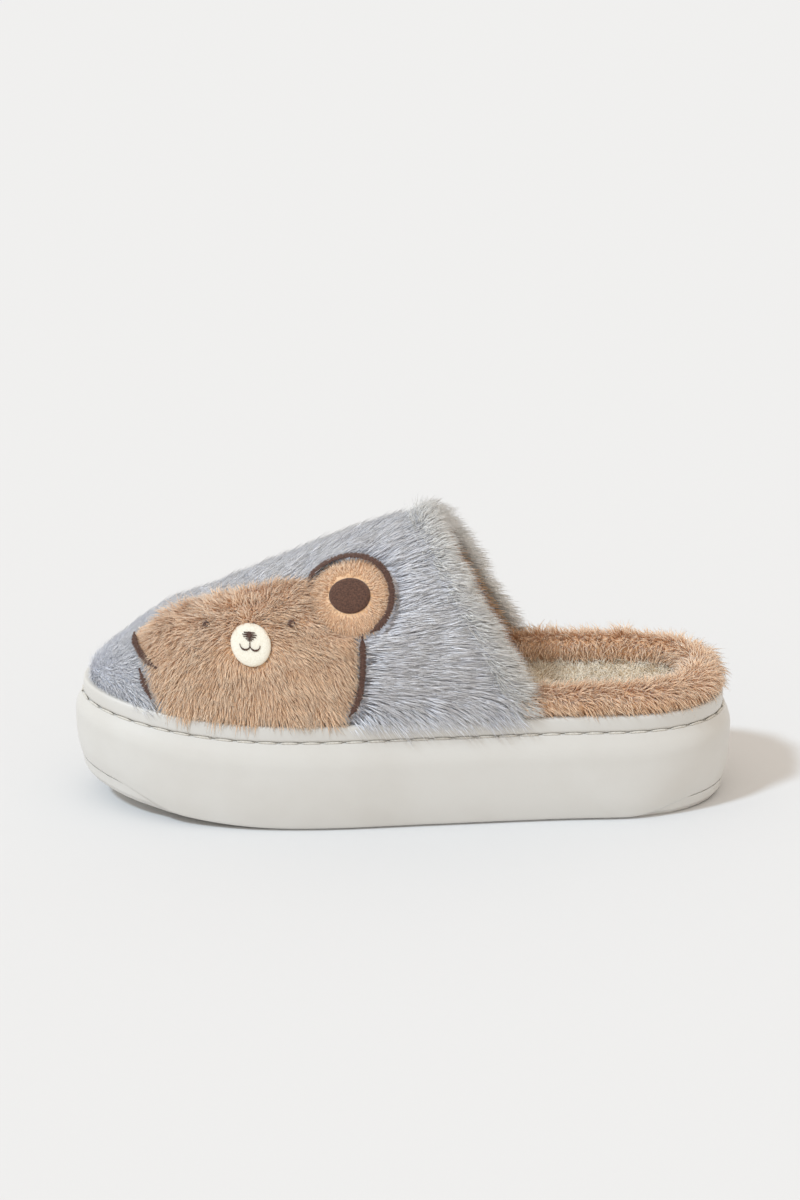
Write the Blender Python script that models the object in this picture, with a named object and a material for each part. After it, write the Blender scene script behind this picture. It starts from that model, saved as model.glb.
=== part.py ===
"""A left house slipper: a thick moulded sole, a furry mule upper with a teddy patch, and a plush heel collar.

The shoe is worked out in metres on its own last. x runs back from the tip of the sole and z up from the floor.
The lateral side, which carries the teddy, is at negative y. centre_on_floor() then puts the origin on the floor
in the middle of the shoe.
"""

from collections import namedtuple
from math import pi, radians

import bmesh
import bpy
import numpy as np

# Driving dimensions of the sole
SOLE_LENGTH = 0.265
BALL_WIDTH = 0.0955
HEEL_WIDTH = 0.080
LEDGE_HEIGHT = 0.0365
TOE_SPRING = 0.012
TOE_RISE = 0.007
HEEL_BEVEL = 0.0015
SIDE_TUCK = 0.0026
OUTSOLE_THICK = 0.006
OUTSOLE_EDGE = 0.0045
TREAD_RIM = 0.005
TREAD_PITCH = 0.017
TREAD_GROOVE = 0.0045
TREAD_DEPTH = 0.002
TREAD_CHEVRON = 0.006

# Driving dimensions of the rim strip and the insole
RIM_SETBACK = 0.0033
RIM_HEIGHT = 0.007
RIM_THICK = 0.004
INSOLE_THICK = 0.0065
INSOLE_DISH = 0.0012

# Driving dimensions of the upper
UPPER_WALL = 0.003
INSTEP_HEIGHT = 0.068
THROAT_BACK = 0.1765
THROAT_LEAN = 0.040
RIDGE_SHIFT = 0.003
FUR_PILE = 0.0078
TOE_TRIM = 0.035
BINDING_WIDTH = 0.007
BINDING_PAD = 0.0045

# Driving dimensions of the heel collar
COLLAR_RISE = 0.0085
COLLAR_MEDIAL_LIFT = 0.004
COLLAR_THICK = 0.0125
COLLAR_BULGE = 0.0050
COLLAR_PILE = 0.003

# Driving dimensions of the teddy, as pattern pieces laid flat: back from the toe, and up the side from the rim
HEAD_CENTRE = (0.072, 0.0265)
HEAD_WIDTH = 0.080
HEAD_CROWN = 0.030
HEAD_CHIN = 0.0330
HEAD_TILT = 0.15
HEAD_HEM = 0.0015
PATCH_PILE = 0.0034
NEAR_EAR = (0.111, 0.050)
NEAR_EAR_WIDTH = 0.031
FAR_EAR = (0.0390, 0.0270)
FAR_EAR_WIDTH = 0.0225
INNER_EAR_WIDTH = 0.016
MUZZLE = (0.0725, 0.030)
MUZZLE_WIDTH = 0.0155
MUZZLE_HEIGHT = 0.0165
FELT_THICK = 0.001
FUR_MOAT = 0.0055

# The gap between pieces that meet
GAP = 0.0003

# Shares of the sole's length where the toe starts to rise, the heel bevel starts and the outline rounds off
TOE_BREAK = 0.34
HEEL_BREAK = 0.86
TOE_CAP = 0.30
HEEL_CAP = 0.20

# How square the toe, the heel and the vamp's sections are: 2 is an ellipse
TOE_POWER = 2.15
HEEL_POWER = 2.3
SECTION_POWER = 2.15
CAP_POWER = 2.1

# ball, heel: how much of each width makes the sole's width there. lateral: the share of it on the lateral side.
SoleStation = namedtuple("SoleStation", "station ball heel lateral")
SOLE_STATIONS = (
    SoleStation(0.00, 0.88, 0.00, 0.52),
    SoleStation(0.20, 0.96, 0.00, 0.52),
    SoleStation(0.36, 1.00, 0.00, 0.52),
    SoleStation(0.55, 0.46, 0.54, 0.525),
    SoleStation(0.75, 0.00, 1.00, 0.52),
    SoleStation(0.90, 0.00, 1.00, 0.51),
    SoleStation(1.00, 0.00, 1.00, 0.50),
)

# rise: share of the way from the outsole to the ledge. tuck: share of SIDE_TUCK the side stands in from the outline.
SideRow = namedtuple("SideRow", "rise tuck")
SIDE_ROWS = (
    SideRow(0.00, 0.80),
    SideRow(0.16, 0.34),
    SideRow(0.40, 0.05),
    SideRow(0.64, 0.00),
    SideRow(0.78, 0.05),
    SideRow(0.84, 0.22),
    SideRow(1.00, 1.00),
)

# station: share of the sole's length. height: share of INSTEP_HEIGHT the bare vamp stands above the rim strip.
VampRow = namedtuple("VampRow", "station height")
VAMP_ROWS = (
    VampRow(0.00, 0.21),
    VampRow(0.05, 0.25),
    VampRow(0.10, 0.34),
    VampRow(0.15, 0.44),
    VampRow(0.21, 0.53),
    VampRow(0.31, 0.70),
    VampRow(0.42, 0.88),
    VampRow(0.53, 1.02),
    VampRow(0.70, 1.16),
)
VAMP_CAP = 0.13

# across: 0 at the collar's outer foot, 1 at its inner foot. rise: share of its height above the rim strip.
# bulge: share of COLLAR_BULGE it hangs out over the strip.
CollarRow = namedtuple("CollarRow", "across rise bulge")
COLLAR_ROWS = (
    CollarRow(0.00, 0.05, 0.55),
    CollarRow(0.00, 0.35, 1.00),
    CollarRow(0.02, 0.68, 0.80),
    CollarRow(0.22, 0.95, 0.30),
    CollarRow(0.52, 1.00, 0.00),
    CollarRow(0.82, 0.86, 0.00),
    CollarRow(1.00, 0.50, 0.00),
    CollarRow(0.95, 0.14, 0.00),
    CollarRow(0.62, 0.04, 0.00),
)

SHELL_INSET = RIM_SETBACK + RIM_THICK + GAP
INSOLE_INSET = SHELL_INSET + UPPER_WALL + 2 * GAP

RING_STEPS = 42
VAMP_ROWS_ACROSS = 38
VAMP_ROWS_ALONG = 36
LOCK_ROWS = 4
COLLAR_STEPS = 48


def smooth(at, knots, values):
    """A curve through the values at the knots, with slopes taken from their neighbours."""
    knots, values = np.asarray(knots, float), np.asarray(values, float)
    slopes = np.gradient(values, knots)
    at = np.clip(at, knots[0], knots[-1])
    i = np.clip(np.searchsorted(knots, at, side="right") - 1, 0, len(knots) - 2)
    span = knots[i + 1] - knots[i]
    t = (at - knots[i]) / span
    return (
        (1 + 2 * t) * (1 - t) ** 2 * values[i]
        + t * (1 - t) ** 2 * span * slopes[i]
        + t * t * (3 - 2 * t) * values[i + 1]
        + t * t * (t - 1) * span * slopes[i + 1]
    )


def rounded(share, power):
    """A superellipse quarter: 0 at share 0, where it starts upright, and 1 from share 1 on."""
    return (1 - (1 - np.clip(share, 0, 1)) ** power) ** (1 / power)


def half_widths(station):
    """The sole's half widths on the lateral and the medial side."""
    knots = [row.station for row in SOLE_STATIONS]
    width = BALL_WIDTH * smooth(station, knots, [row.ball for row in SOLE_STATIONS])
    width = width + HEEL_WIDTH * smooth(station, knots, [row.heel for row in SOLE_STATIONS])
    width = width * rounded(station / TOE_CAP, TOE_POWER) * rounded((1 - station) / HEEL_CAP, HEEL_POWER)
    lateral = width * smooth(station, knots, [row.lateral for row in SOLE_STATIONS])
    return lateral, width - lateral


def outline_side(side, inset):
    """One side of the sole's outline from toe to heel, set in: even shares along it, x and y."""
    share = np.linspace(0, 1, 721)
    station = 0.5 - 0.5 * np.cos(pi * share)
    x = station * SOLE_LENGTH
    y = side * half_widths(station)[0 if side < 0 else 1]
    along, across = np.gradient(x), np.gradient(y)
    run = np.hypot(along, across)
    inner_x = x + side * inset * across / run
    inner_y = y - side * inset * along / run
    inner_x[0], inner_y[0] = inset, 0
    inner_x[-1], inner_y[-1] = SOLE_LENGTH - inset, 0
    return share, inner_x, inner_y


def edge(x, side, inset):
    """How far out the set-in outline is on one side at x."""
    _, inner_x, inner_y = outline_side(side, inset)
    return np.interp(x, inner_x, inner_y)


def toe_share(x):
    return np.clip((TOE_BREAK - x / SOLE_LENGTH) / TOE_BREAK, 0, 1)


def floor_z(x):
    """The underside: flat, with the toe sprung up and the heel bevelled."""
    heel = np.clip((x / SOLE_LENGTH - HEEL_BREAK) / (1 - HEEL_BREAK), 0, 1)
    return TOE_SPRING * toe_share(x) ** 2 + HEEL_BEVEL * heel**2


def ledge_z(x):
    """The ledge that the upper, the rim strip and the insole stand on."""
    return LEDGE_HEIGHT + TOE_RISE * toe_share(x) ** 2


def rim_top(x):
    return ledge_z(x) + RIM_HEIGHT + GAP


def ring(shares, inset, height):
    """A loop round the sole: toe, lateral side, heel, medial side. height is a function of x."""
    sides = []
    for side in (-1, 1):
        share, x, y = outline_side(side, inset)
        x, y = np.interp(shares, share, x), np.interp(shares, share, y)
        sides.append(np.stack([x, y, height(x)], axis=1))
    return np.concatenate([sides[0], sides[1][-2:0:-1]])


def belt(start, other, count, closed=True):
    """Quads between two rows of points that start at these numbers."""
    last = count if closed else count - 1
    return [(start + i, start + (i + 1) % count, other + (i + 1) % count, other + i) for i in range(last)]


def ladder(start, count):
    """Rungs that close a loop made by ring(): lateral to medial points, toe to heel."""
    half = count // 2
    rungs = [(start, start + 1, start + count - 1)]
    rungs += [(start + i, start + i + 1, start + count - i - 1, start + count - i) for i in range(1, half - 1)]
    return rungs + [(start + half - 1, start + half, start + half + 1)]


def zipped(first, second):
    """Faces between two open rows of point numbers, where the first row has more points than the second."""
    faces = []
    for i in range(len(first) - 1):
        here = i * (len(second) - 1) // (len(first) - 1)
        there = (i + 1) * (len(second) - 1) // (len(first) - 1)
        corners = [first[i], first[i + 1], second[there]]
        faces.append(tuple(corners + [second[here]]) if there != here else tuple(corners))
    return faces


def stacked(rings):
    """Points and faces of a solid made of loops one on top of the other, closed at both ends."""
    count = len(rings[0])
    faces = ladder(0, count) + ladder((len(rings) - 1) * count, count)
    for i in range(len(rings) - 1):
        faces += belt(i * count, (i + 1) * count, count)
    return np.concatenate(rings), faces


def outsole():
    """The tread layer: a bevelled slab with chevron lugs inside a plain rim."""
    first, last = 0.09 * SOLE_LENGTH, 0.93 * SOLE_LENGTH
    lugs = int((last - first) / TREAD_PITCH)
    wall = 0.2 * TREAD_GROOVE
    rows = [(share * first, 0) for share in (0, 0.02, 0.1, 0.25, 0.5, 0.75)]
    for i in range(lugs):
        start = first + i * TREAD_PITCH
        end = start + TREAD_PITCH - TREAD_GROOVE
        rows += [(start, 0), (end, 0)]
        if i < lugs - 1:
            rows += [(end + wall, 1), (end + TREAD_GROOVE - wall, 1)]
    rear = rows[-1][0]
    rows += [(rear + share * (SOLE_LENGTH - rear), 0) for share in (0.3, 0.55, 0.75, 0.88, 0.96, 0.99, 1)]
    shares = np.arccos(1 - 2 * np.array([row[0] for row in rows]) / SOLE_LENGTH) / pi
    sunk = np.array([row[1] for row in rows]) * TREAD_DEPTH
    sunk_loop = np.concatenate([sunk, sunk[-2:0:-1]])

    def level(rise):
        return lambda x: floor_z(x) + rise

    rings = [
        ring(shares, SIDE_ROWS[0].tuck * SIDE_TUCK, level(OUTSOLE_THICK)),
        ring(shares, 0.5 * (SIDE_ROWS[0].tuck * SIDE_TUCK + OUTSOLE_EDGE) - 0.0004, level(0.35 * OUTSOLE_THICK)),
        ring(shares, OUTSOLE_EDGE, floor_z),
        ring(shares, OUTSOLE_EDGE + TREAD_RIM, floor_z),
        ring(shares, OUTSOLE_EDGE + TREAD_RIM + wall, floor_z),
    ]
    rings[-1][:, 2] += sunk_loop
    count = len(rings[0])
    faces = ladder(0, count)
    for i in range(len(rings) - 1):
        faces += belt(i * count, (i + 1) * count, count)
    tread = (len(rings) - 1) * count
    half = count // 2
    lateral, medial = rings[-1][1:half], rings[-1][:half:-1]
    middle = 0.5 * (lateral + medial)
    middle[:, 0] += TREAD_CHEVRON * np.clip((middle[:, 0] - first) / TREAD_PITCH, 0, 1) * np.clip(
        (last - middle[:, 0]) / TREAD_PITCH, 0, 1
    )
    middle[:, 2] = floor_z(middle[:, 0]) + sunk[1:-1]
    centre = len(rings) * count
    for i in range(1, half - 1):
        faces.append((tread + i, tread + i + 1, centre + i, centre + i - 1))
        faces.append((centre + i - 1, centre + i, tread + count - i - 1, tread + count - i))
    faces += [(tread, tread + 1, centre), (tread, centre, tread + count - 1)]
    faces += [(tread + half - 1, tread + half, centre + half - 2), (tread + half, tread + half + 1, centre + half - 2)]
    return np.concatenate(rings + [middle]), faces


def midsole():
    """The thick foam platform, with a bulging side and a rounded shoulder up to the ledge."""
    shares = np.linspace(0, 1, RING_STEPS + 1)

    def level(rise):
        return lambda x: (1 - rise) * (floor_z(x) + OUTSOLE_THICK + GAP) + rise * ledge_z(x)

    return stacked([ring(shares, row.tuck * SIDE_TUCK, level(row.rise)) for row in SIDE_ROWS])


def rim_strip():
    """The moulded strip that stands round the ledge and holds the foot of the upper and the collar."""
    shares = np.linspace(0, 1, RING_STEPS + 1)
    crown = 0.3 * RIM_THICK
    corners = (
        (RIM_SETBACK, GAP),
        (RIM_SETBACK + 0.1 * RIM_THICK, RIM_HEIGHT - crown),
        (RIM_SETBACK + crown, RIM_HEIGHT),
        (RIM_SETBACK + RIM_THICK, RIM_HEIGHT),
        (RIM_SETBACK + RIM_THICK, GAP),
    )
    rings = [ring(shares, inset, lambda x, rise=rise: ledge_z(x) + rise) for inset, rise in corners]
    count = len(rings[0])
    faces = []
    for i in range(len(rings)):
        faces += belt(i * count, (i + 1) % len(rings) * count, count)
    return np.concatenate(rings), faces


def insole():
    """The plush-covered footbed: a pad with a soft edge and a shallow dish."""
    shares = np.linspace(0, 1, RING_STEPS + 1)
    rows = ((0.0, 0.0), (0.0, 0.65), (0.0015, 0.95), (0.004, 1.0))
    rings = [
        ring(shares, INSOLE_INSET + inset, lambda x, rise=rise: ledge_z(x) + GAP + rise * INSOLE_THICK)
        for inset, rise in rows
    ]
    rings.append(ring(shares, INSOLE_INSET + 0.014, lambda x: ledge_z(x) + GAP + INSOLE_THICK - INSOLE_DISH))
    return stacked(rings)


def vamp_surface(x, angle):
    """The bare outer face of the vamp at x. The angle runs from 0 at the lateral rim over the top to pi."""
    side, up = np.cos(angle), np.clip(np.sin(angle), 0, 1) ** (2 / SECTION_POWER)
    lateral, medial = edge(x, -1, SHELL_INSET), edge(x, 1, SHELL_INSET)
    out = np.abs(side) ** (2 / SECTION_POWER)
    y = np.where(side > 0, lateral, medial) * out + RIDGE_SHIFT * up**2 * np.clip(x / THROAT_BACK, 0, 1)
    knots = [row.station * SOLE_LENGTH for row in VAMP_ROWS]
    height = INSTEP_HEIGHT * smooth(x, knots, [row.height for row in VAMP_ROWS])
    height = height * rounded((x - SHELL_INSET) / (VAMP_CAP * SOLE_LENGTH), CAP_POWER)
    return np.stack([x, y, rim_top(x) + height * up], axis=-1)


def vamp_x(along, angle, back=0.0):
    """x on the vamp: along is 0 at the toe and 1 at the leaning topline."""
    run = 1 - np.cos(0.5 * pi * along)
    lean = THROAT_LEAN * run**1.3 * np.clip(np.sin(angle), 0, 1) ** (2 / SECTION_POWER)
    return SHELL_INSET + (THROAT_BACK - SHELL_INSET) * run - lean + back


def vamp_point(x, angle, height):
    """A point over the vamp's bare outer face, along its normal. Negative heights are inside."""
    x, angle, height = np.broadcast_arrays(np.asarray(x, float), angle, height)
    step = 1e-4
    nose = np.maximum(x, SHELL_INSET + 2 * step)
    turn = np.clip(angle, 0.02, pi - 0.02)
    along = vamp_surface(nose + step, turn) - vamp_surface(nose - step, turn)
    across = vamp_surface(nose, turn + step) - vamp_surface(nose, turn - step)
    normal = np.cross(along, across)
    normal /= np.linalg.norm(normal, axis=-1, keepdims=True)
    return vamp_surface(x, angle) + normal * height[..., None]


def girth_angles(x):
    """Angles round the vamp's section at x, and how far up the side from the rim each one is."""
    angles = np.linspace(0, pi, 121)
    points = vamp_surface(np.full_like(angles, x), angles)
    steps = np.linalg.norm(np.diff(points, axis=0), axis=1)
    return angles, np.concatenate([[0], np.cumsum(steps)])


def flat_position(x, angle):
    """Where a point on the vamp lies on the flat pattern."""
    angles, girth = girth_angles(x)
    return np.array([x, np.interp(angle, angles, girth)])


def laid_on_vamp(flat, height):
    """Points of a flat pattern laid on the vamp, at a height over its bare face."""
    x = np.maximum(flat[:, 0], SHELL_INSET + 0.001)
    turned = []
    for at, up in zip(x, flat[:, 1]):
        angles, girth = girth_angles(at)
        turned.append(np.interp(up, girth, angles))
    return vamp_point(x, np.array(turned), height)


def disc_edge(centre, width, height, turns):
    return np.stack([centre[0] + 0.5 * width * np.cos(turns), centre[1] + 0.5 * height * np.sin(turns)], axis=1)


def head_edge(turns):
    """The teddy's head as a flat pattern: a soft square that leans up with the instep, cut off along the rim."""
    across = np.sign(np.cos(turns)) * np.abs(np.cos(turns)) ** 0.72
    up = np.sign(np.sin(turns)) * np.abs(np.sin(turns)) ** 0.72
    x = HEAD_CENTRE[0] + 0.5 * HEAD_WIDTH * across
    rise = np.where(up > 0, HEAD_CROWN * up, HEAD_CHIN * up)
    tilt = HEAD_TILT * (x - HEAD_CENTRE[0]) * np.clip(up + 0.5, 0, 1)
    return np.stack([x, np.maximum(HEAD_CENTRE[1] + rise + tilt, HEAD_HEM)], axis=1)


def pulled_in(points, centre, keep_out, radius):
    """Edge points drawn back to the centre until they are clear of another round piece."""
    centre, keep_out = np.array(centre), np.array(keep_out)
    pulled = []
    for point in points:
        shares = np.linspace(1, 0.2, 161)[:, None]
        line = centre + shares * (point - centre)
        clear = np.linalg.norm(line - keep_out, axis=1) >= radius
        pulled.append(line[np.argmax(clear)])
    return np.array(pulled)


def inside(point, edge_points):
    """Whether a flat point is inside a closed edge."""
    x, y = edge_points[:, 0] - point[0], edge_points[:, 1] - point[1]
    turn = np.diff(np.unwrap(np.arctan2(np.append(y, y[0]), np.append(x, x[0]))))
    return abs(turn.sum()) > pi


def head_pattern(count):
    turns = np.linspace(0, 2 * pi, count, endpoint=False)
    return pulled_in(head_edge(turns), HEAD_CENTRE, NEAR_EAR, 0.5 * NEAR_EAR_WIDTH + 2 * GAP)


def near_ear_pattern(count):
    turns = np.linspace(0, 2 * pi, count, endpoint=False)
    return disc_edge(NEAR_EAR, NEAR_EAR_WIDTH, NEAR_EAR_WIDTH, turns)


def far_ear_pattern(count):
    """The far ear: a disc that stops short of the head."""
    turns = np.linspace(0, 2 * pi, count, endpoint=False)
    whole = disc_edge(FAR_EAR, FAR_EAR_WIDTH, FAR_EAR_WIDTH, turns)
    head = head_edge(np.linspace(0, 2 * pi, 200, endpoint=False))
    away = np.array(FAR_EAR) - np.array(HEAD_CENTRE)
    tip = np.array(FAR_EAR) + 0.40 * FAR_EAR_WIDTH * away / np.linalg.norm(away)
    kept = []
    for point in whole:
        shares = np.linspace(1, 0.02, 99)[:, None]
        line = tip + shares * (point - tip)
        clear = [not inside(spot, head) and np.linalg.norm(head - spot, axis=1).min() > 3 * GAP for spot in line]
        kept.append(line[int(np.argmax(clear))])
    return tip, np.array(kept)


def patch(centre, edge_points, base, height):
    """A soft-edged patch on the vamp: rings of its pattern drawn to the centre. height is a function of the ring
    share and the flat points."""
    centre = np.array(centre)
    count = len(edge_points)
    reach = np.linalg.norm(edge_points - centre, axis=1).max()
    steps = max(2, int(np.ceil(reach / 0.006)))
    front = [1.0, 1 - 0.35 / steps] + [i / steps for i in range(steps - 1, 0, -1)]
    back = [i / steps for i in range(steps, 0, -1)]
    points, faces = [], []
    for share in front:
        flat = centre + share * (edge_points - centre)
        points.append(laid_on_vamp(flat, base + height(share, flat)))
    for share in back:
        flat = centre + share * (edge_points - centre)
        points.append(laid_on_vamp(flat, np.full(count, base)))
    for i in range(len(front) - 1):
        faces += belt(i * count, (i + 1) * count, count)
    first_back = len(front)
    faces += belt(0, first_back * count, count)
    for i in range(first_back, first_back + len(back) - 1):
        faces += belt(i * count, (i + 1) * count, count)
    flat = centre[None, :]
    points.append(laid_on_vamp(flat, base + height(0, flat)))
    points.append(laid_on_vamp(flat, np.array([base])))
    tip = (len(front) + len(back)) * count
    for i in range(count):
        after = (i + 1) % count
        faces.append((tip, (first_back - 1) * count + i, (first_back - 1) * count + after))
        faces.append((tip + 1, (tip // count - 1) * count + i, (tip // count - 1) * count + after))
    return np.concatenate(points), faces


def head_height(share, flat):
    """Short plush in small tufts, flat under the muzzle and thin at the edge."""
    if share == 1:
        return np.full(len(flat), 0.3 * PATCH_PILE)
    tuft = 0.5 + 0.5 * np.sin(flat[:, 0] * 900) * np.sin(flat[:, 1] * 780 + flat[:, 0] * 260)
    clear = np.hypot((flat[:, 0] - MUZZLE[0]) / MUZZLE_WIDTH, (flat[:, 1] - MUZZLE[1]) / MUZZLE_HEIGHT)
    tuft = np.where(clear < 1.15, 0, tuft)
    return PATCH_PILE * (0.78 + 0.3 * tuft)


def plain_height(thick):
    return lambda share, flat: np.full(len(flat), thick * (0.4 if share == 1 else 1))


def head_patch():
    return patch(HEAD_CENTRE, head_pattern(40), 1.5 * GAP, head_height)


def near_ear():
    return patch(NEAR_EAR, near_ear_pattern(22), GAP, plain_height(0.75 * PATCH_PILE))


def far_ear():
    centre, edge_points = far_ear_pattern(20)
    return patch(centre, edge_points, GAP, plain_height(0.75 * PATCH_PILE))


def inner_ear():
    turns = np.linspace(0, 2 * pi, 16, endpoint=False)
    edge_points = disc_edge(NEAR_EAR, INNER_EAR_WIDTH, INNER_EAR_WIDTH, turns)
    return patch(NEAR_EAR, edge_points, 2 * GAP + 0.75 * PATCH_PILE, plain_height(FELT_THICK))


def muzzle():
    turns = np.linspace(0, 2 * pi, 18, endpoint=False)
    edge_points = disc_edge(MUZZLE, MUZZLE_WIDTH, MUZZLE_HEIGHT, turns)
    return patch(MUZZLE, edge_points, 2.5 * GAP + 0.78 * PATCH_PILE, plain_height(FELT_THICK))


def upper():
    """The vamp: one hollow wall, open underneath and at the back, with fur in locks that lie back from the toe."""
    along = np.linspace(0, 1, VAMP_ROWS_ALONG + 1)[1:]
    angle = np.linspace(0, pi, VAMP_ROWS_ACROSS + 1)
    rows, columns = np.meshgrid(along, angle, indexing="ij")
    x = vamp_x(rows, columns)
    patterns = [head_pattern(60), near_ear_pattern(40), far_ear_pattern(40)[1]]
    pile = np.zeros_like(x)
    for i in range(x.shape[0]):
        for j in range(1, x.shape[1] - 1):
            spot = flat_position(x[i, j], columns[i, j])
            away = min(np.linalg.norm(pattern - spot, axis=1).min() for pattern in patterns)
            under = any(inside(spot, pattern) for pattern in patterns)
            open_fur = 0 if under else np.clip(away / FUR_MOAT - 1, 0, 1)
            short = np.clip(0.15 + (x[i, j] - SHELL_INSET) / TOE_TRIM, 0, 1)
            pile[i, j] = open_fur * short * min(1, j / 2, (x.shape[1] - 1 - j) / 2)
    i, j = np.indices(x.shape)
    lock = ((i + LOCK_ROWS * (j * 0.618 % 1)) % LOCK_ROWS) / LOCK_ROWS
    height = FUR_PILE * pile * (0.5 + 0.5 * lock)
    height[-1] *= 0.75
    swept = 0.4 * pile * lock * np.gradient(x, axis=0)
    swept[-1] = 0
    outer = vamp_point(x + swept, columns, height)
    inner_rows = slice(1, None, 2)
    inner = vamp_point(x[inner_rows, ::2], columns[inner_rows, ::2], -UPPER_WALL)

    def foot(x, side, inset, z):
        return np.stack([x, edge(x, side, inset), z], axis=-1)

    tip = SHELL_INSET
    inner_inset = SHELL_INSET + UPPER_WALL
    share = (x[inner_rows, 0] - SHELL_INSET) / (THROAT_BACK - SHELL_INSET)
    inner_x = inner_inset + (THROAT_BACK - inner_inset) * share
    inner[:, 0] = foot(inner_x, -1, inner_inset, rim_top(inner_x))
    inner[:, -1] = foot(inner_x, 1, inner_inset, rim_top(inner_x))

    across = VAMP_ROWS_ACROSS + 1
    across_in = VAMP_ROWS_ACROSS // 2 + 1
    count, count_in = len(along), len(inner)
    points = [outer.reshape(-1, 3), inner.reshape(-1, 3)]
    points.append(np.array([[tip, 0, rim_top(tip)], [inner_inset, 0, rim_top(inner_inset)]]))
    first_in = count * across
    nose, nose_in = first_in + count_in * across_in, first_in + count_in * across_in + 1
    faces = []
    for i in range(count - 1):
        faces += belt(i * across, (i + 1) * across, across, closed=False)
    for i in range(count_in - 1):
        faces += belt(first_in + i * across_in, first_in + (i + 1) * across_in, across_in, closed=False)
    faces += [(nose, j, j + 1) for j in range(across - 1)]
    faces += [(nose_in, first_in + j, first_in + j + 1) for j in range(across_in - 1)]

    rim = [i * across for i in range(count - 1, -1, -1)] + [nose]
    rim += [i * across + across - 1 for i in range(count)]
    rim_in = [first_in + i * across_in for i in range(count_in - 1, -1, -1)] + [nose_in]
    rim_in += [first_in + i * across_in + across_in - 1 for i in range(count_in)]
    stacked_points = np.concatenate(points)
    low = stacked_points[rim].copy()
    low[:, 2] = ledge_z(low[:, 0]) + GAP
    low_in = stacked_points[rim_in].copy()
    low_in[:, 2] = ledge_z(low_in[:, 0]) + GAP
    first_low = len(stacked_points)
    low_row = [first_low + i for i in range(len(rim))]
    low_in_row = [first_low + len(rim) + i for i in range(len(rim_in))]
    for row, lower in ((rim, low_row), (rim_in, low_in_row)):
        faces += [(row[i], row[i + 1], lower[i + 1], lower[i]) for i in range(len(row) - 1)]
    faces += zipped(low_row, low_in_row)
    top = [(count - 1) * across + j for j in range(across)]
    top_in = [first_in + (count_in - 1) * across_in + j for j in range(across_in)]
    faces += zipped([low_row[0]] + top + [low_row[-1]], [low_in_row[0]] + top_in + [low_in_row[-1]])
    return np.concatenate([stacked_points, low, low_in]), faces


def binding():
    """The plush edge strip along the topline, thicker than the wall it follows."""
    angle = np.linspace(0.012, pi - 0.012, VAMP_ROWS_ACROSS + 1)
    tuft = 1 + 0.14 * np.cos(np.arange(len(angle)) * 2.4)
    section = (
        (1.5 * GAP, -0.8 * UPPER_WALL),
        (1.5 * GAP, 0.5 * BINDING_PAD),
        (0.25 * BINDING_WIDTH, 0.95 * BINDING_PAD),
        (0.62 * BINDING_WIDTH, 1.0 * BINDING_PAD),
        (0.93 * BINDING_WIDTH, 0.55 * BINDING_PAD),
        (1.0 * BINDING_WIDTH, -0.1 * UPPER_WALL),
        (0.9 * BINDING_WIDTH, -1.0 * UPPER_WALL),
        (0.5 * BINDING_WIDTH, -1.35 * UPPER_WALL),
    )
    rows = []
    for back, height in section:
        heights = np.full(len(angle), height) * (tuft if height > 0 else 1)
        rows.append(vamp_point(vamp_x(1, angle, back), angle, heights))
    count = len(angle)
    faces = []
    for i in range(len(rows)):
        faces += belt(i * count, (i + 1) % len(rows) * count, count, closed=False)
    faces += [tuple(i * count for i in range(len(rows))), tuple(i * count + count - 1 for i in range(len(rows)))]
    return np.concatenate(rows), faces


def collar():
    """The plush roll round the heel, from one end of the binding to the other, higher on the medial side."""
    start = THROAT_BACK + BINDING_WIDTH + 3 * GAP
    way = np.linspace(0, 1, COLLAR_STEPS + 1)
    rise = COLLAR_RISE + COLLAR_MEDIAL_LIFT * way**2 * (3 - 2 * way)

    def row(inset, up, lean):
        """One row of points along the roll. up is its height over the rim strip at each point."""
        points = []
        for side in (-1, 1):
            share, x, y = outline_side(side, inset)
            front = np.interp(start - lean, x, share)
            half = (1 - 2 * way[way <= 0.5]) if side < 0 else (2 * way[way > 0.5] - 1)
            at = 1 - half * (1 - front)
            points.append(np.stack([np.interp(at, share, x), np.interp(at, share, y)], axis=1))
        flat = np.concatenate(points)
        return np.column_stack([flat, np.maximum(rim_top(flat[:, 0]) + up, ledge_z(flat[:, 0]) + GAP)])

    inner = SHELL_INSET + UPPER_WALL
    buried = np.full(len(way), -1.0)
    rows = [row(SHELL_INSET, buried, 0), row(SHELL_INSET, buried * 0, 0)]
    middle = 0.45
    for k, part in enumerate(COLLAR_ROWS):
        tuft = COLLAR_PILE * ((np.arange(len(way)) * 0.618 + k * 0.37) % 1) * min(1, 2 * part.rise)
        inset = SHELL_INSET + part.across * COLLAR_THICK - part.bulge * COLLAR_BULGE
        lean = part.rise * COLLAR_RISE * THROAT_LEAN / INSTEP_HEIGHT
        flat = row(inset, GAP + part.rise * rise + tuft * np.clip(part.rise, 0, 1), lean)
        pushed = row(inset + (0.001 if part.across > middle else -0.001), flat[:, 2] * 0, lean)
        outward = (pushed - flat)[:, :2] / 0.001
        flat[:, :2] += outward * (tuft * abs(part.across - middle))[:, None]
        rows.append(flat)
    rows += [row(inner, buried * 0, 0), row(inner, buried, 0)]
    count = len(way)
    faces = []
    for i in range(len(rows)):
        faces += belt(i * count, (i + 1) % len(rows) * count, count, closed=False)
    faces += [tuple(i * count for i in range(len(rows))), tuple(i * count + count - 1 for i in range(len(rows)))]
    return np.concatenate(rows), faces


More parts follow.
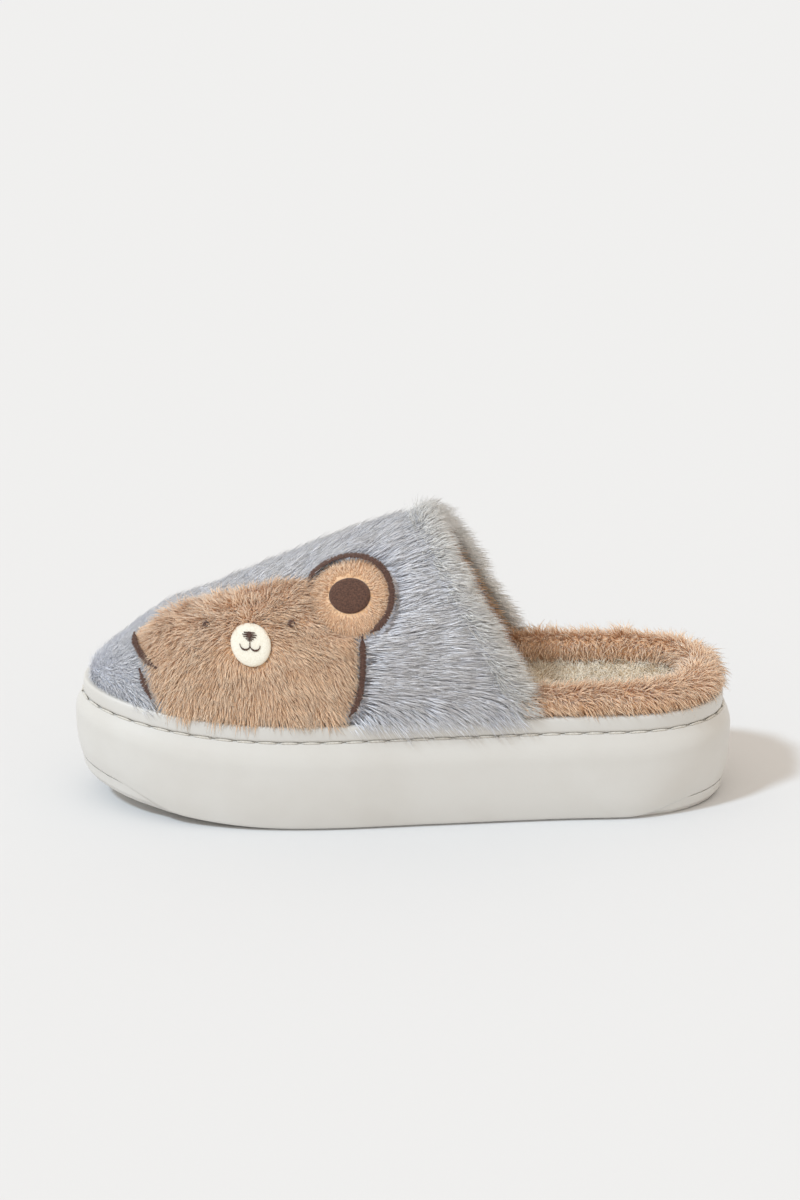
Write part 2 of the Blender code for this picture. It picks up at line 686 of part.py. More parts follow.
# The finish of each piece: base colour as linear red, green, blue, and roughness
Finish = namedtuple("Finish", "colour roughness")
WHITE_FOAM = Finish((0.78, 0.75, 0.70), 0.45)
WHITE_RUBBER = Finish((0.74, 0.71, 0.66), 0.50)
CREAM_PLUSH = Finish((0.70, 0.62, 0.47), 0.90)
BLUE_FUR = Finish((0.54, 0.57, 0.63), 0.92)
PALE_FUR = Finish((0.62, 0.62, 0.60), 0.92)
TAN_PLUSH = Finish((0.62, 0.39, 0.22), 0.90)
BROWN_FELT = Finish((0.07, 0.03, 0.02), 0.85)
CREAM_FELT = Finish((0.82, 0.78, 0.66), 0.85)

PIECES = (
    ("outsole", outsole, WHITE_RUBBER),
    ("midsole", midsole, WHITE_FOAM),
    ("rim_strip", rim_strip, WHITE_RUBBER),
    ("insole", insole, CREAM_PLUSH),
    ("upper", upper, BLUE_FUR),
    ("topline_binding", binding, PALE_FUR),
    ("heel_collar", collar, TAN_PLUSH),
    ("teddy_head", head_patch, TAN_PLUSH),
    ("teddy_near_ear", near_ear, TAN_PLUSH),
    ("teddy_far_ear", far_ear, TAN_PLUSH),
    ("teddy_inner_ear", inner_ear, BROWN_FELT),
    ("teddy_muzzle", muzzle, CREAM_FELT),
)


def centre_on_floor(shapes):
    """How far to move the shoe so that its box stands on the origin."""
    corners = np.concatenate([points for points, _ in shapes])
    low, high = corners.min(axis=0), corners.max(axis=0)
    return -np.array([0.5 * (low[0] + high[0]), 0.5 * (low[1] + high[1]), low[2]])


def add_piece(name, points, faces, finish, collection):
    mesh = bpy.data.meshes.new(name)
    mesh.from_pydata([tuple(point) for point in points], [], faces)
    body = bmesh.new()
    body.from_mesh(mesh)
    bmesh.ops.recalc_face_normals(body, faces=body.faces)
    body.to_mesh(mesh)
    body.free()
    mesh.shade_smooth()
    mesh.set_sharp_from_angle(angle=radians(42))
    material = bpy.data.materials.new(name + "_finish")
    material.use_nodes = True
    shader = material.node_tree.nodes["Principled BSDF"]
    shader.inputs["Base Color"].default_value = (*finish.colour, 1)
    shader.inputs["Roughness"].default_value = finish.roughness
    mesh.materials.append(material)
    collection.objects.link(bpy.data.objects.new(name, mesh))


for old in list(bpy.data.objects):
    bpy.data.objects.remove(old, do_unlink=True)

slipper = bpy.data.collections.new("house_slipper")
bpy.context.scene.collection.children.link(slipper)
made = [(name, make(), finish) for name, make, finish in PIECES]
shift = centre_on_floor([shape for _, shape, _ in made])
for name, (points, faces), finish in made:
    add_piece(name, points + shift, faces, finish, slipper)
    print(name, len(faces), "faces")
print("moved by", shift.round(5))
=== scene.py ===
# %% [markdown]
# # A plush house slipper
#
# This scene dresses the solid parts of a left house slipper: a thick moulded sole, a furry vamp with a
# plush teddy on its lateral side, a tan plush collar round the heel and a cream footbed. The solids come
# in as the frame. The scene then lays soft surfaces over them and grows the fur with Geometry Nodes.

from math import cos, pi, radians, sin

import bmesh
import bpy
import numpy as np
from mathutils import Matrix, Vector


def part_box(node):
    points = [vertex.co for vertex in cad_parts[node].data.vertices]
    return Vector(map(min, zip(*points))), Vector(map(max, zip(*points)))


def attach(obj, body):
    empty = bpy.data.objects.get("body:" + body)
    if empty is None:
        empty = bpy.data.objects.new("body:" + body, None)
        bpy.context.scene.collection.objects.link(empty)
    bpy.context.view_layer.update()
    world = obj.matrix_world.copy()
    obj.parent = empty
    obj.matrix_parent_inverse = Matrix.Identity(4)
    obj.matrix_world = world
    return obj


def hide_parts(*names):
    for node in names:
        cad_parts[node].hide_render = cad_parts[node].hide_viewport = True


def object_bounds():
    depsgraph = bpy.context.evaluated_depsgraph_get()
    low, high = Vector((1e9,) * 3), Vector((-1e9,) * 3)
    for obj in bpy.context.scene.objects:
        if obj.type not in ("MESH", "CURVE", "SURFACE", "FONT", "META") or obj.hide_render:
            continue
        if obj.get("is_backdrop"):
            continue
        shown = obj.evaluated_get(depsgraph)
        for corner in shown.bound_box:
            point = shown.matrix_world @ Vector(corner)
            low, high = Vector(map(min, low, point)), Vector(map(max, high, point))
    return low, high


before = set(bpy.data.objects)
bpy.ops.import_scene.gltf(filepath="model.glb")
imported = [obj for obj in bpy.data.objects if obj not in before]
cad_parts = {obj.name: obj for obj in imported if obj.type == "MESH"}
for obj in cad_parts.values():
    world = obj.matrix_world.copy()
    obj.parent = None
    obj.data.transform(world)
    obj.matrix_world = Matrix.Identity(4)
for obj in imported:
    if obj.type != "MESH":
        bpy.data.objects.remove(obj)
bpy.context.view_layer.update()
print("frame nodes:", ", ".join(sorted(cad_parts)))

# %% [markdown]
# ## The slipper's own sizes
#
# Everything is laid out on the last, the form that a shoe is made on. x runs back from the tip of the
# sole, y from the lateral side (negative) to the medial side, z up from the floor, all in metres. The
# sizes are those of the solids, so that what is added here lies on them.

# %% Sizes and tables
SOLE_LENGTH, BALL_WIDTH, HEEL_WIDTH = 0.265, 0.0955, 0.080
LEDGE_HEIGHT, TOE_SPRING, TOE_RISE, HEEL_BEVEL = 0.0365, 0.012, 0.007, 0.0015
OUTSOLE_THICK, SIDE_TUCK = 0.006, 0.0026
RIM_SETBACK, RIM_HEIGHT, RIM_THICK = 0.0033, 0.007, 0.004
INSOLE_THICK = 0.0065
INSTEP_HEIGHT, THROAT_BACK, THROAT_LEAN, RIDGE_SHIFT = 0.068, 0.1765, 0.040, 0.003
GAP, WALL = 0.0003, 0.003
BINDING_WIDTH, BINDING_PAD = 0.007, 0.0045
COLLAR_RISE, COLLAR_LIFT, COLLAR_THICK, COLLAR_BULGE = 0.0085, 0.004, 0.0125, 0.0050
SHELL_INSET = RIM_SETBACK + RIM_THICK + GAP
INSOLE_INSET = SHELL_INSET + WALL + 2 * GAP
# Shares of the length over which the toe springs up and the heel is bevelled
TOE_REACH, HEEL_REACH = 0.34, 0.14
# Shares of the length over which toe, heel and the vamp's nose are rounded off, and the power of each curve
TOE_ROUND, TOE_POWER, HEEL_ROUND, HEEL_POWER = 0.30, 2.15, 0.20, 2.3
NOSE_ROUND, NOSE_POWER, SECTION_POWER = 0.13, 2.1, 2 / 2.15

# Columns: station as a share of the length, shares of the ball and heel widths, the lateral side's share
SOLE_TABLE = np.array([
    (0.00, 0.88, 0.00, 0.52), (0.20, 0.96, 0.00, 0.52), (0.36, 1.00, 0.00, 0.52), (0.55, 0.46, 0.54, 0.525),
    (0.75, 0.00, 1.00, 0.52), (0.90, 0.00, 1.00, 0.51), (1.00, 0.00, 1.00, 0.50),
])
# Columns: share of the way up the midsole's side, share of SIDE_TUCK that it stands in
SIDE_TABLE = np.array([
    (0, 0.80), (0.16, 0.34), (0.40, 0.05), (0.64, 0.0), (0.78, 0.05), (0.84, 0.22), (1, 1.0),
])
# Columns: station as a share of the length, share of INSTEP_HEIGHT that the vamp stands over the rim strip
VAMP_TABLE = np.array([
    (0.00, 0.21), (0.05, 0.25), (0.10, 0.34), (0.15, 0.44), (0.21, 0.53), (0.31, 0.70), (0.42, 0.88),
    (0.53, 1.02), (0.70, 1.16),
])
# Columns: across the collar from its outer to its inner foot, share of its rise, share of its bulge
COLLAR_TABLE = np.array([
    (0.00, 0.05, 0.55), (0.00, 0.35, 1.00), (0.02, 0.68, 0.80), (0.22, 0.95, 0.30), (0.52, 1.00, 0.00),
    (0.82, 0.86, 0.00), (1.00, 0.50, 0.00), (0.95, 0.14, 0.00), (0.62, 0.04, 0.00),
])
rng = np.random.default_rng(7)


# %% The last: outline, heights and the vamp's surface
def smooth(at, knots, values):
    slopes = np.gradient(values, knots)
    at = np.clip(at, knots[0], knots[-1])
    i = np.clip(np.searchsorted(knots, at, side="right") - 1, 0, len(knots) - 2)
    span = knots[i + 1] - knots[i]
    t = (at - knots[i]) / span
    start, end = (1 + 2 * t) * (1 - t) ** 2, t * t * (3 - 2 * t)
    return (start * values[i] + end * values[i + 1]
            + t * (1 - t) ** 2 * span * slopes[i] + t * t * (t - 1) * span * slopes[i + 1])


def rounded(share, power):
    return (1 - (1 - np.clip(share, 0, 1)) ** power) ** (1 / power)


def outline_side(side, inset):
    """One side of the sole's outline, set in by inset: even shares along it, x and y."""
    share = np.linspace(0, 1, 721)
    station = 0.5 - 0.5 * np.cos(pi * share)
    knots = SOLE_TABLE[:, 0]
    width = (BALL_WIDTH * smooth(station, knots, SOLE_TABLE[:, 1])
             + HEEL_WIDTH * smooth(station, knots, SOLE_TABLE[:, 2]))
    width = width * rounded(station / TOE_ROUND, TOE_POWER) * rounded((1 - station) / HEEL_ROUND, HEEL_POWER)
    lateral = smooth(station, knots, SOLE_TABLE[:, 3])
    x, y = station * SOLE_LENGTH, side * width * (lateral if side < 0 else 1 - lateral)
    along, across = np.gradient(x), np.gradient(y)
    run = np.hypot(along, across)
    in_x, in_y = x + side * inset * across / run, y - side * inset * along / run
    in_x[0], in_y[0], in_x[-1], in_y[-1] = inset, 0, SOLE_LENGTH - inset, 0
    return share, in_x, in_y


def toe_share(x):
    return np.clip((TOE_REACH - x / SOLE_LENGTH) / TOE_REACH, 0, 1)


def floor_z(x):
    heel_share = np.clip((x / SOLE_LENGTH - (1 - HEEL_REACH)) / HEEL_REACH, 0, 1)
    return TOE_SPRING * toe_share(x) ** 2 + HEEL_BEVEL * heel_share**2


def ledge_z(x):
    return LEDGE_HEIGHT + TOE_RISE * toe_share(x) ** 2


def rim_top(x):
    return ledge_z(x) + RIM_HEIGHT + GAP


EDGES = {side: outline_side(side, SHELL_INSET)[1:] for side in (-1, 1)}


def unit(vectors, least=1e-12):
    """The vectors with a length of one. Those shorter than least stay shorter than one."""
    return vectors / np.maximum(np.linalg.norm(vectors, axis=-1, keepdims=True), least)


def vamp_up(angle):
    """How far up its height the vamp's section stands at an angle."""
    return np.clip(np.sin(angle), 0, 1) ** SECTION_POWER


def vamp_surface(x, angle):
    """The bare outer face of the vamp at x. The angle runs from 0 at the lateral rim over the top to pi."""
    side, up = np.cos(angle), vamp_up(angle)
    reach = np.where(side > 0, np.interp(x, *EDGES[-1]), np.interp(x, *EDGES[1]))
    y = reach * np.abs(side) ** SECTION_POWER + RIDGE_SHIFT * up**2 * np.clip(x / THROAT_BACK, 0, 1)
    height = INSTEP_HEIGHT * smooth(x, VAMP_TABLE[:, 0] * SOLE_LENGTH, VAMP_TABLE[:, 1])
    height = height * rounded((x - SHELL_INSET) / (NOSE_ROUND * SOLE_LENGTH), NOSE_POWER)
    return np.stack([x, y, rim_top(x) + height * up], axis=-1)


def vamp_x(along, angle, back=0.0):
    """x on the vamp: along is 0 at the toe and 1 at the leaning topline."""
    run = 1 - np.cos(0.5 * pi * along)
    lean = THROAT_LEAN * run**1.3 * vamp_up(angle)
    return SHELL_INSET + (THROAT_BACK - SHELL_INSET) * run - lean + back


def vamp_frame(x, angle):
    """The vamp's normal, and the way back along it."""
    step = 1e-4
    nose, turn = np.maximum(x, SHELL_INSET + 2 * step), np.clip(angle, 0.02, pi - 0.02)
    along = vamp_surface(nose + step, turn) - vamp_surface(nose - step, turn)
    across = vamp_surface(nose, turn + step) - vamp_surface(nose, turn - step)
    return unit(np.cross(along, across)), unit(along)


def vamp_point(x, angle, height):
    x, angle, height = np.broadcast_arrays(np.asarray(x, float), angle, height)
    return vamp_surface(x, angle) + vamp_frame(x, angle)[0] * height[..., None]


low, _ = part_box("midsole")
lateral_reach = outline_side(-1, 0)[2].min()
SHIFT = np.array([low.x, low.y - lateral_reach, 0.0])
print("last to frame:", SHIFT.round(5), "vamp height", round(float(vamp_surface(0.14, pi / 2)[2]), 4))

# %% [markdown]
# ## Mesh and material helpers
#
# A moulded part is a stack of closed rings round the sole, so one function makes the ring and another
# skins the stack. A soft part is a grid of points over the last. The finishes are Principled shaders named
# for what they are, with colours given as sRGB hex values and turned linear by one function.

# %% Mesh helpers
def new_mesh(name, points, faces=()):
    mesh = bpy.data.meshes.new(name)
    places = np.reshape(points, (-1, 3)) + SHIFT
    mesh.from_pydata(places.tolist(), [], [tuple(int(i) for i in face) for face in faces])
    return mesh


def new_object(name, data):
    made = bpy.data.objects.new(name, data)
    bpy.context.scene.collection.objects.link(made)
    return made


def evaluated_mesh(thing):
    """A plain mesh of what an object's modifiers make."""
    bpy.context.view_layer.update()
    return bpy.data.meshes.new_from_object(thing.evaluated_get(bpy.context.evaluated_depsgraph_get()))


def store(mesh, name, values):
    """Keeps a number or a vector for each point of a mesh."""
    values = np.ascontiguousarray(values, dtype=np.float32)
    kind, field = ("FLOAT_VECTOR", "vector") if values.ndim > 1 else ("FLOAT", "value")
    mesh.attributes.new(name, kind, "POINT").data.foreach_set(field, values.ravel())


def add_mesh(name, points, faces, material, slot, replaces=(), merge=False):
    """A smooth mesh at the origin of the frame, riding on the one body of the slipper."""
    mesh = new_mesh(name, points, faces)
    body = bmesh.new()
    body.from_mesh(mesh)
    if merge:
        bmesh.ops.remove_doubles(body, verts=body.verts, dist=1e-6)
    bmesh.ops.recalc_face_normals(body, faces=body.faces)
    body.to_mesh(mesh)
    body.free()
    mesh.shade_smooth()
    mesh.materials.append(material)
    return add_piece(name, mesh, replaces)


def add_piece(name, mesh, replaces=()):
    piece = new_object(name, mesh)
    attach(piece, "root")
    if replaces:
        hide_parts(*replaces)
    return piece


def ring(steps, inset, height):
    """A loop round the sole: toe, lateral side, heel, medial side."""
    shares, sides = np.linspace(0, 1, steps + 1), []
    for side in (-1, 1):
        share, x, y = outline_side(side, inset)
        x, y = np.interp(shares, share, x), np.interp(shares, share, y)
        sides.append(np.stack([x, y, height(x)], axis=1))
    return np.concatenate([sides[0], sides[1][-2:0:-1]])


def belt(start, other, count, closed=True):
    return [(start + i, start + (i + 1) % count, other + (i + 1) % count, other + i)
            for i in range(count if closed else count - 1)]


def ladder(start, count):
    half = count // 2
    rungs = [(start, start + 1, start + count - 1), (start + half - 1, start + half, start + half + 1)]
    return rungs + [(start + i, start + i + 1, start + count - i - 1, start + count - i)
                    for i in range(1, half - 1)]


def stacked(rings, closed=False):
    """Skins a stack of rings: closed at both ends, or round and round as a hoop."""
    count, faces = len(rings[0]), []
    for i in range(len(rings) if closed else len(rings) - 1):
        faces += belt(i * count, (i + 1) % len(rings) * count, count)
    if not closed:
        faces += ladder(0, count) + ladder((len(rings) - 1) * count, count)
    return np.concatenate(rings), faces


def grid_faces(rows, columns, closed=False):
    """Quads over a grid of rows by columns. A closed grid joins each row's end to its start."""
    return [face for i in range(rows - 1) for face in belt(i * columns, (i + 1) * columns, columns, closed)]


def tube_faces(tube):
    """The side of a tube that is given as rows of points along it, and the two caps that close it."""
    rows, columns = tube.shape[:2]
    side = grid_faces(rows, columns) + belt((rows - 1) * columns, 0, columns, closed=False)
    return side, [tuple(i * columns + end for i in range(rows)) for end in (0, columns - 1)]


# %% Material helpers
def linear(colour):
    """sRGB hex to linear red, green, blue."""
    channels = [int(colour[i:i + 2], 16) / 255 for i in (1, 3, 5)]
    return tuple(c / 12.92 if c <= 0.04045 else ((c + 0.055) / 1.055) ** 2.4 for c in channels)


def node(tree, kind, label="", inputs=None, **settings):
    """Adds a node, sets its properties and fills its sockets with values or links."""
    new = tree.nodes.new(kind)
    new.label = label
    for key, value in settings.items():
        setattr(new, key, value)
    for key, value in (inputs or {}).items():
        if isinstance(value, bpy.types.NodeSocket):
            tree.links.new(value, new.inputs[key])
        else:
            new.inputs[key].default_value = value
    return new


def finish_material(name, colour, roughness, **sockets):
    """A Principled finish with plain values on the shader's own sockets."""
    material = bpy.data.materials.new(name)
    material.use_nodes = True
    shader = material.node_tree.nodes["Principled BSDF"]
    shader.inputs["Base Color"].default_value = (*linear(colour), 1)
    shader.inputs["Roughness"].default_value = roughness
    for socket, value in sockets.items():
        shader.inputs[socket.replace("_", " ")].default_value = value
    return material, material.node_tree, shader


def ramp(tree, factor, stops):
    """A colour ramp over sRGB hex stops."""
    new = node(tree, "ShaderNodeValToRGB", inputs={"Fac": factor})
    elements = new.color_ramp.elements
    while len(elements) < len(stops):
        elements.new(0.5)
    for element, (position, colour) in zip(elements, stops):
        element.position, element.color = position, (*linear(colour), 1)
    return new.outputs["Color"]


def object_position(tree):
    return node(tree, "ShaderNodeTexCoord").outputs["Object"]


def noise(tree, label, where, scale, detail):
    inputs = {"Vector": where, "Scale": scale, "Detail": detail}
    return node(tree, "ShaderNodeTexNoise", label, inputs).outputs


def bump(tree, shader, height, distance, strength):
    made = node(tree, "ShaderNodeBump", inputs={"Height": height, "Distance": distance, "Strength": strength})
    tree.links.new(made.outputs["Normal"], shader.inputs["Normal"])


def moulded(name, colour, shade):
    """Moulded foam: a warm white skin, slightly mottled, with a fine matt grain."""
    material, tree, shader = finish_material(name, colour, 0.42, Coat_Weight=0.08, Coat_Roughness=0.4)
    where = object_position(tree)
    mottle = noise(tree, "mottle", where, scale=28.0, detail=4.0)["Fac"]
    tree.links.new(ramp(tree, mottle, [(0.35, shade), (0.6, colour)]), shader.inputs["Base Color"])
    grain = noise(tree, "grain", where, scale=900.0, detail=2.0)["Fac"]
    wave = noise(tree, "moulding", where, scale=45.0, detail=1.0)["Fac"]
    height = node(tree, "ShaderNodeMath", operation="MULTIPLY_ADD", inputs={0: wave, 1: 6.0, 2: grain})
    bump(tree, shader, height.outputs[0], distance=0.00004, strength=0.5)
    return material


def fibrous(name, dark, light, roughness, scale, light_from, distance, strength, **sockets):
    """A finish of short fibres, seen as a fine grain from dark to light."""
    material, tree, shader = finish_material(name, dark, roughness, **sockets)
    fibres = noise(tree, "fibres", object_position(tree), scale, detail=3.0)["Fac"]
    tree.links.new(ramp(tree, fibres, [(0.35, dark), (light_from, light)]), shader.inputs["Base Color"])
    bump(tree, shader, fibres, distance, strength)
    return material


def plush_skin(name, dark, light):
    """The knit that the pile stands on, with a nap of fine lumps."""
    return fibrous(name, dark, light, 0.95, scale=420.0, light_from=0.7, distance=0.0012, strength=0.8)


def felt(name, dark, light):
    """Felt or satin stitch."""
    return fibrous(name, dark, light, 0.85, scale=1500.0, light_from=0.75, distance=0.0004, strength=0.7,
                   Sheen_Weight=0.3)


def pile_material(name, roots, middle, tips, streak):
    """Pile, darker at the root and paler at the tip. Hairs with a strong tint are streaks."""
    material, tree, shader = finish_material(
        name, middle, 0.62, Sheen_Weight=0.4, Sheen_Roughness=0.5, Specular_IOR_Level=0.2)
    along = node(tree, "ShaderNodeAttribute", "root to tip", attribute_name="along").outputs["Fac"]
    tint = node(tree, "ShaderNodeAttribute", "each hair's tint", attribute_name="tint").outputs["Fac"]
    plain = ramp(tree, along, [(0.0, roots), (0.45, middle), (1.0, tips)])
    streaked = ramp(tree, along, [(0.0, roots), (0.5, streak), (1.0, middle)])
    inputs = {"Factor": tint, "A": plain, "B": streaked}
    mixed = node(tree, "ShaderNodeMix", "streaks", inputs, data_type="RGBA")
    tree.links.new(mixed.outputs["Result"], shader.inputs["Base Color"])
    return material


FOAM = moulded("foam_moulded_white", "#D6D4CF", "#D1CEC8")
THREAD = felt("thread_off_white", "#C9C4BA", "#E0DCD4")
BLUE_SKIN = plush_skin("knit_blue_grey", "#C6C8D0", "#DCDDE3")
TAN_SKIN = plush_skin("knit_tan", "#D9AC82", "#F0CDA8")
CREAM_SKIN = plush_skin("curled_plush_cream", "#EBDCC4", "#FAF0DF")
BLUE_PILE = pile_material("pile_blue_grey", "#DDDEE5", "#F2F3F8", "#FDFDFE", "#E0E1E9")
PALE_PILE = pile_material("pile_pale_grey", "#D8D7D3", "#F2F1EE", "#FDFCFA", "#E2E1DD")
TAN_PILE = pile_material("pile_tan", "#EDC098", "#FFDDBA", "#FFF0DE", "#F1C69D")
CREAM_PILE = pile_material("pile_cream", "#F8E6C9", "#FFF4DF", "#FFFBF0", "#F8E6C9")
BROWN_STITCH = felt("satin_stitch_brown", "#43291F", "#6A4A3C")
BROWN_FELT = felt("felt_brown", "#43291D", "#6A4736")
CREAM_FELT = felt("felt_cream", "#E8E1CF", "#F5F0E2")
print("materials:", len(bpy.data.materials))

# %% [markdown]
# ## The sole
#
# The platform is one block of foam, moulded with a bulging side that rolls over into a ledge. It is
# skinned again here with many more rings, from the same table, so that its highlight runs clean. Between
# toe and heel its side runs on down to just over the floor, past the tread layer, as no parting line shows
# there. The tread layer is already fine enough in the solids, so it only gets its finish. The rim strip is
# a hoop with rounded edges that stands on the ledge, and the thin dark line at its foot is the real gap
# between the two.

# %% Midsole, outsole and rim strip
SIDE_STEPS, FLOOR_CLEAR, LEDGE_LAP = 150, 0.0009, 0.012


def foot_of_side(x):
    """Where the moulded side ends below: at the parting line round toe and heel, by the floor between."""
    ends = np.clip(np.abs(x / SOLE_LENGTH - 0.5) * 9 - 3.0, 0, 1)
    ends = ends * ends * (3 - 2 * ends)
    return floor_z(x) + FLOOR_CLEAR + (OUTSOLE_THICK + GAP - FLOOR_CLEAR) * ends


def midsole():
    rises = np.concatenate([[0, 0.012], np.linspace(0.04, 0.84, 17), np.linspace(0.87, 0.995, 10), [1.0]])
    tucks = SIDE_TUCK * smooth(rises, SIDE_TABLE[:, 0], SIDE_TABLE[:, 1])
    tucks[0] += 0.0002
    rings = [ring(SIDE_STEPS, tuck, lambda x, up=up: (1 - up) * foot_of_side(x) + up * ledge_z(x))
             for up, tuck in zip(rises, tucks)]
    rings.append(ring(SIDE_STEPS, LEDGE_LAP, ledge_z))
    return stacked(rings)


def rim_strip():
    turns = np.linspace(0, 2 * pi, 28, endpoint=False)
    square = lambda v: np.sign(v) * np.abs(v) ** 0.5
    insets = RIM_SETBACK + 0.5 * RIM_THICK * (1 - square(np.cos(turns)))
    ups = GAP + 0.5 * (RIM_HEIGHT - GAP) * (1 + square(np.sin(turns)))
    rings = [ring(SIDE_STEPS, inset, lambda x, up=up: ledge_z(x) + up) for inset, up in zip(insets, ups)]
    return stacked(rings, closed=True)


add_mesh("midsole_foam", *midsole(), FOAM, "sole_foam", ["midsole"])
add_mesh("rim_strip_moulded", *rim_strip(), FOAM, "rim_rubber", ["rim_strip"])
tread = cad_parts["outsole"]
tread.data.materials.clear()
tread.data.materials.append(FOAM)
print("sole pieces made")

# %% [markdown]
# ## Fur with Geometry Nodes
#
# Real pile is thousands of fibres that stand up from a knit and lean the way they were combed. One node
# tree makes all of it. It scatters points over a skin, turns each hair by the skin's own `comb` direction
# with some noise in tufts, and bends a thin three-sided spike along it. Each hair stores `along`, 0 at its
# root and 1 at its tip, and one `tint`. The same two numbers go into a UV map, so the colours can be
# baked. The tree is set by named inputs and a fixed seed, and its result is kept as a plain mesh.

# %% Node tree helpers
def mesh_tree(name, sockets):
    """An empty node tree with a mesh in and a mesh out, and more inputs by name."""
    tree = bpy.data.node_groups.new(name, "GeometryNodeTree")
    face = tree.interface
    face.new_socket("Geometry", in_out="INPUT", socket_type="NodeSocketGeometry")
    for label, kind in sockets.items():
        face.new_socket(label, in_out="INPUT", socket_type="NodeSocket" + kind)
    face.new_socket("Geometry", in_out="OUTPUT", socket_type="NodeSocketGeometry")
    return tree, node(tree, "NodeGroupInput").outputs


def attribute(tree, name, kind="FLOAT"):
    made = node(tree, "GeometryNodeInputNamedAttribute", name, {"Name": name}, data_type=kind)
    return made.outputs["Attribute"]


def stored(tree, name, geometry, value, kind, domain):
    made = node(tree, "GeometryNodeStoreNamedAttribute", name, {
        "Geometry": geometry, "Name": name, "Value": value}, data_type=kind, domain=domain)
    return made.outputs[0]


def combined(tree, x, y, z=0.0):
    return node(tree, "ShaderNodeCombineXYZ", inputs={"X": x, "Y": y, "Z": z}).outputs[0]


def smoothed(tree, geometry):
    inputs = {"Geometry": geometry, "Shade Smooth": True}
    return node(tree, "GeometryNodeSetShadeSmooth", inputs=inputs).outputs[0]


def turned(tree, main, main_way, other, other_way):
    """A turn that points the main axis one way, and the other axis as far as that allows the other way."""
    kind = "FunctionNodeAlignRotationToVector"
    first = node(tree, kind, inputs={"Vector": main_way}, axis=main)
    inputs = {"Rotation": first.outputs[0], "Vector": other_way}
    return node(tree, kind, inputs=inputs, axis=other, pivot_axis=main).outputs[0]


def placed(tree, label, points, thing, rotation, scale):
    """Puts a thing on each point."""
    inputs = {"Points": points, "Instance": thing, "Rotation": rotation, "Scale": scale}
    return node(tree, "GeometryNodeInstanceOnPoints", label, inputs).outputs[0]


def end_tree(tree, geometry, finish):
    dressed = node(tree, "GeometryNodeSetMaterial", inputs={"Geometry": geometry, "Material": finish})
    node(tree, "NodeGroupOutput", inputs={0: dressed.outputs[0]})


def made_by(tree, name, mesh, material, inputs):
    """What a node tree makes of a mesh, kept as a plain mesh with one finish."""
    base = new_object(name + "_base", mesh)
    modifier = base.modifiers.new(tree.name, "NODES")
    modifier.node_group = tree
    sockets = {item.name: item.identifier for item in tree.interface.items_tree if item.in_out == "INPUT"}
    for label, value in {**inputs, "Finish": material}.items():
        modifier[sockets[label]] = value
    made = evaluated_mesh(base)
    bpy.data.objects.remove(base)
    made.materials.clear()
    made.materials.append(material)
    return made


# %% The fur tree
# For each pile: hairs to a square metre, length, thickness as a share of it, then the other inputs
HABIT = ("Density", "Length", "Thickness", "Curl", "Lift", "Frizz", "Tuft", "Tuft Scale", "Seed")
PILES = {
    "insole_pile": (0.90e6, 0.0056, 0.045, 1.2, 1.50, 0.70, 1.2, 200.0, 5),
    "vamp_pile_under": (0.90e6, 0.0085, 0.026, 0.6, 0.95, 0.13, 0.5, 120.0, 11),
    "vamp_pile_guard_a": (0.85e6, 0.0115, 0.026, 0.6, 0.80, 0.13, 0.6, 120.0, 12),
    "vamp_pile_guard_b": (0.85e6, 0.0125, 0.026, 0.6, 0.70, 0.13, 0.7, 120.0, 13),
    "binding_pile": (3.60e6, 0.0090, 0.034, 0.7, 1.10, 0.25, 0.9, 170.0, 21),
    "lining_edge_pile": (1.60e6, 0.0055, 0.040, 1.1, 0.70, 0.30, 0.9, 170.0, 22),
    "lining_pile": (0.50e6, 0.0062, 0.040, 1.2, 0.55, 0.30, 1.0, 170.0, 31),
    "collar_pile_under": (0.85e6, 0.0050, 0.042, 0.9, 1.10, 0.30, 1.1, 190.0, 41),
    "collar_pile_guard": (0.92e6, 0.0074, 0.042, 0.9, 0.95, 0.30, 1.1, 190.0, 42),
    "teddy_head_pile": (2.50e6, 0.0064, 0.031, 0.8, 0.85, 0.22, 1.2, 130.0, 51),
    "teddy_near_ear_pile": (2.60e6, 0.0036, 0.050, 1.2, 0.80, 0.35, 0.7, 220.0, 52),
    "teddy_far_ear_pile": (2.60e6, 0.0050, 0.050, 1.2, 0.80, 0.35, 0.7, 220.0, 52),
}
# A hair's length by chance, as shares of its coat's
SHORTEST, LONGEST = 0.65, 1.15
OWN_TINT, STREAK_SCALE, STREAK_GAIN, STREAK_SHIFT = 0.35, 95.0, 2.4, -1.05


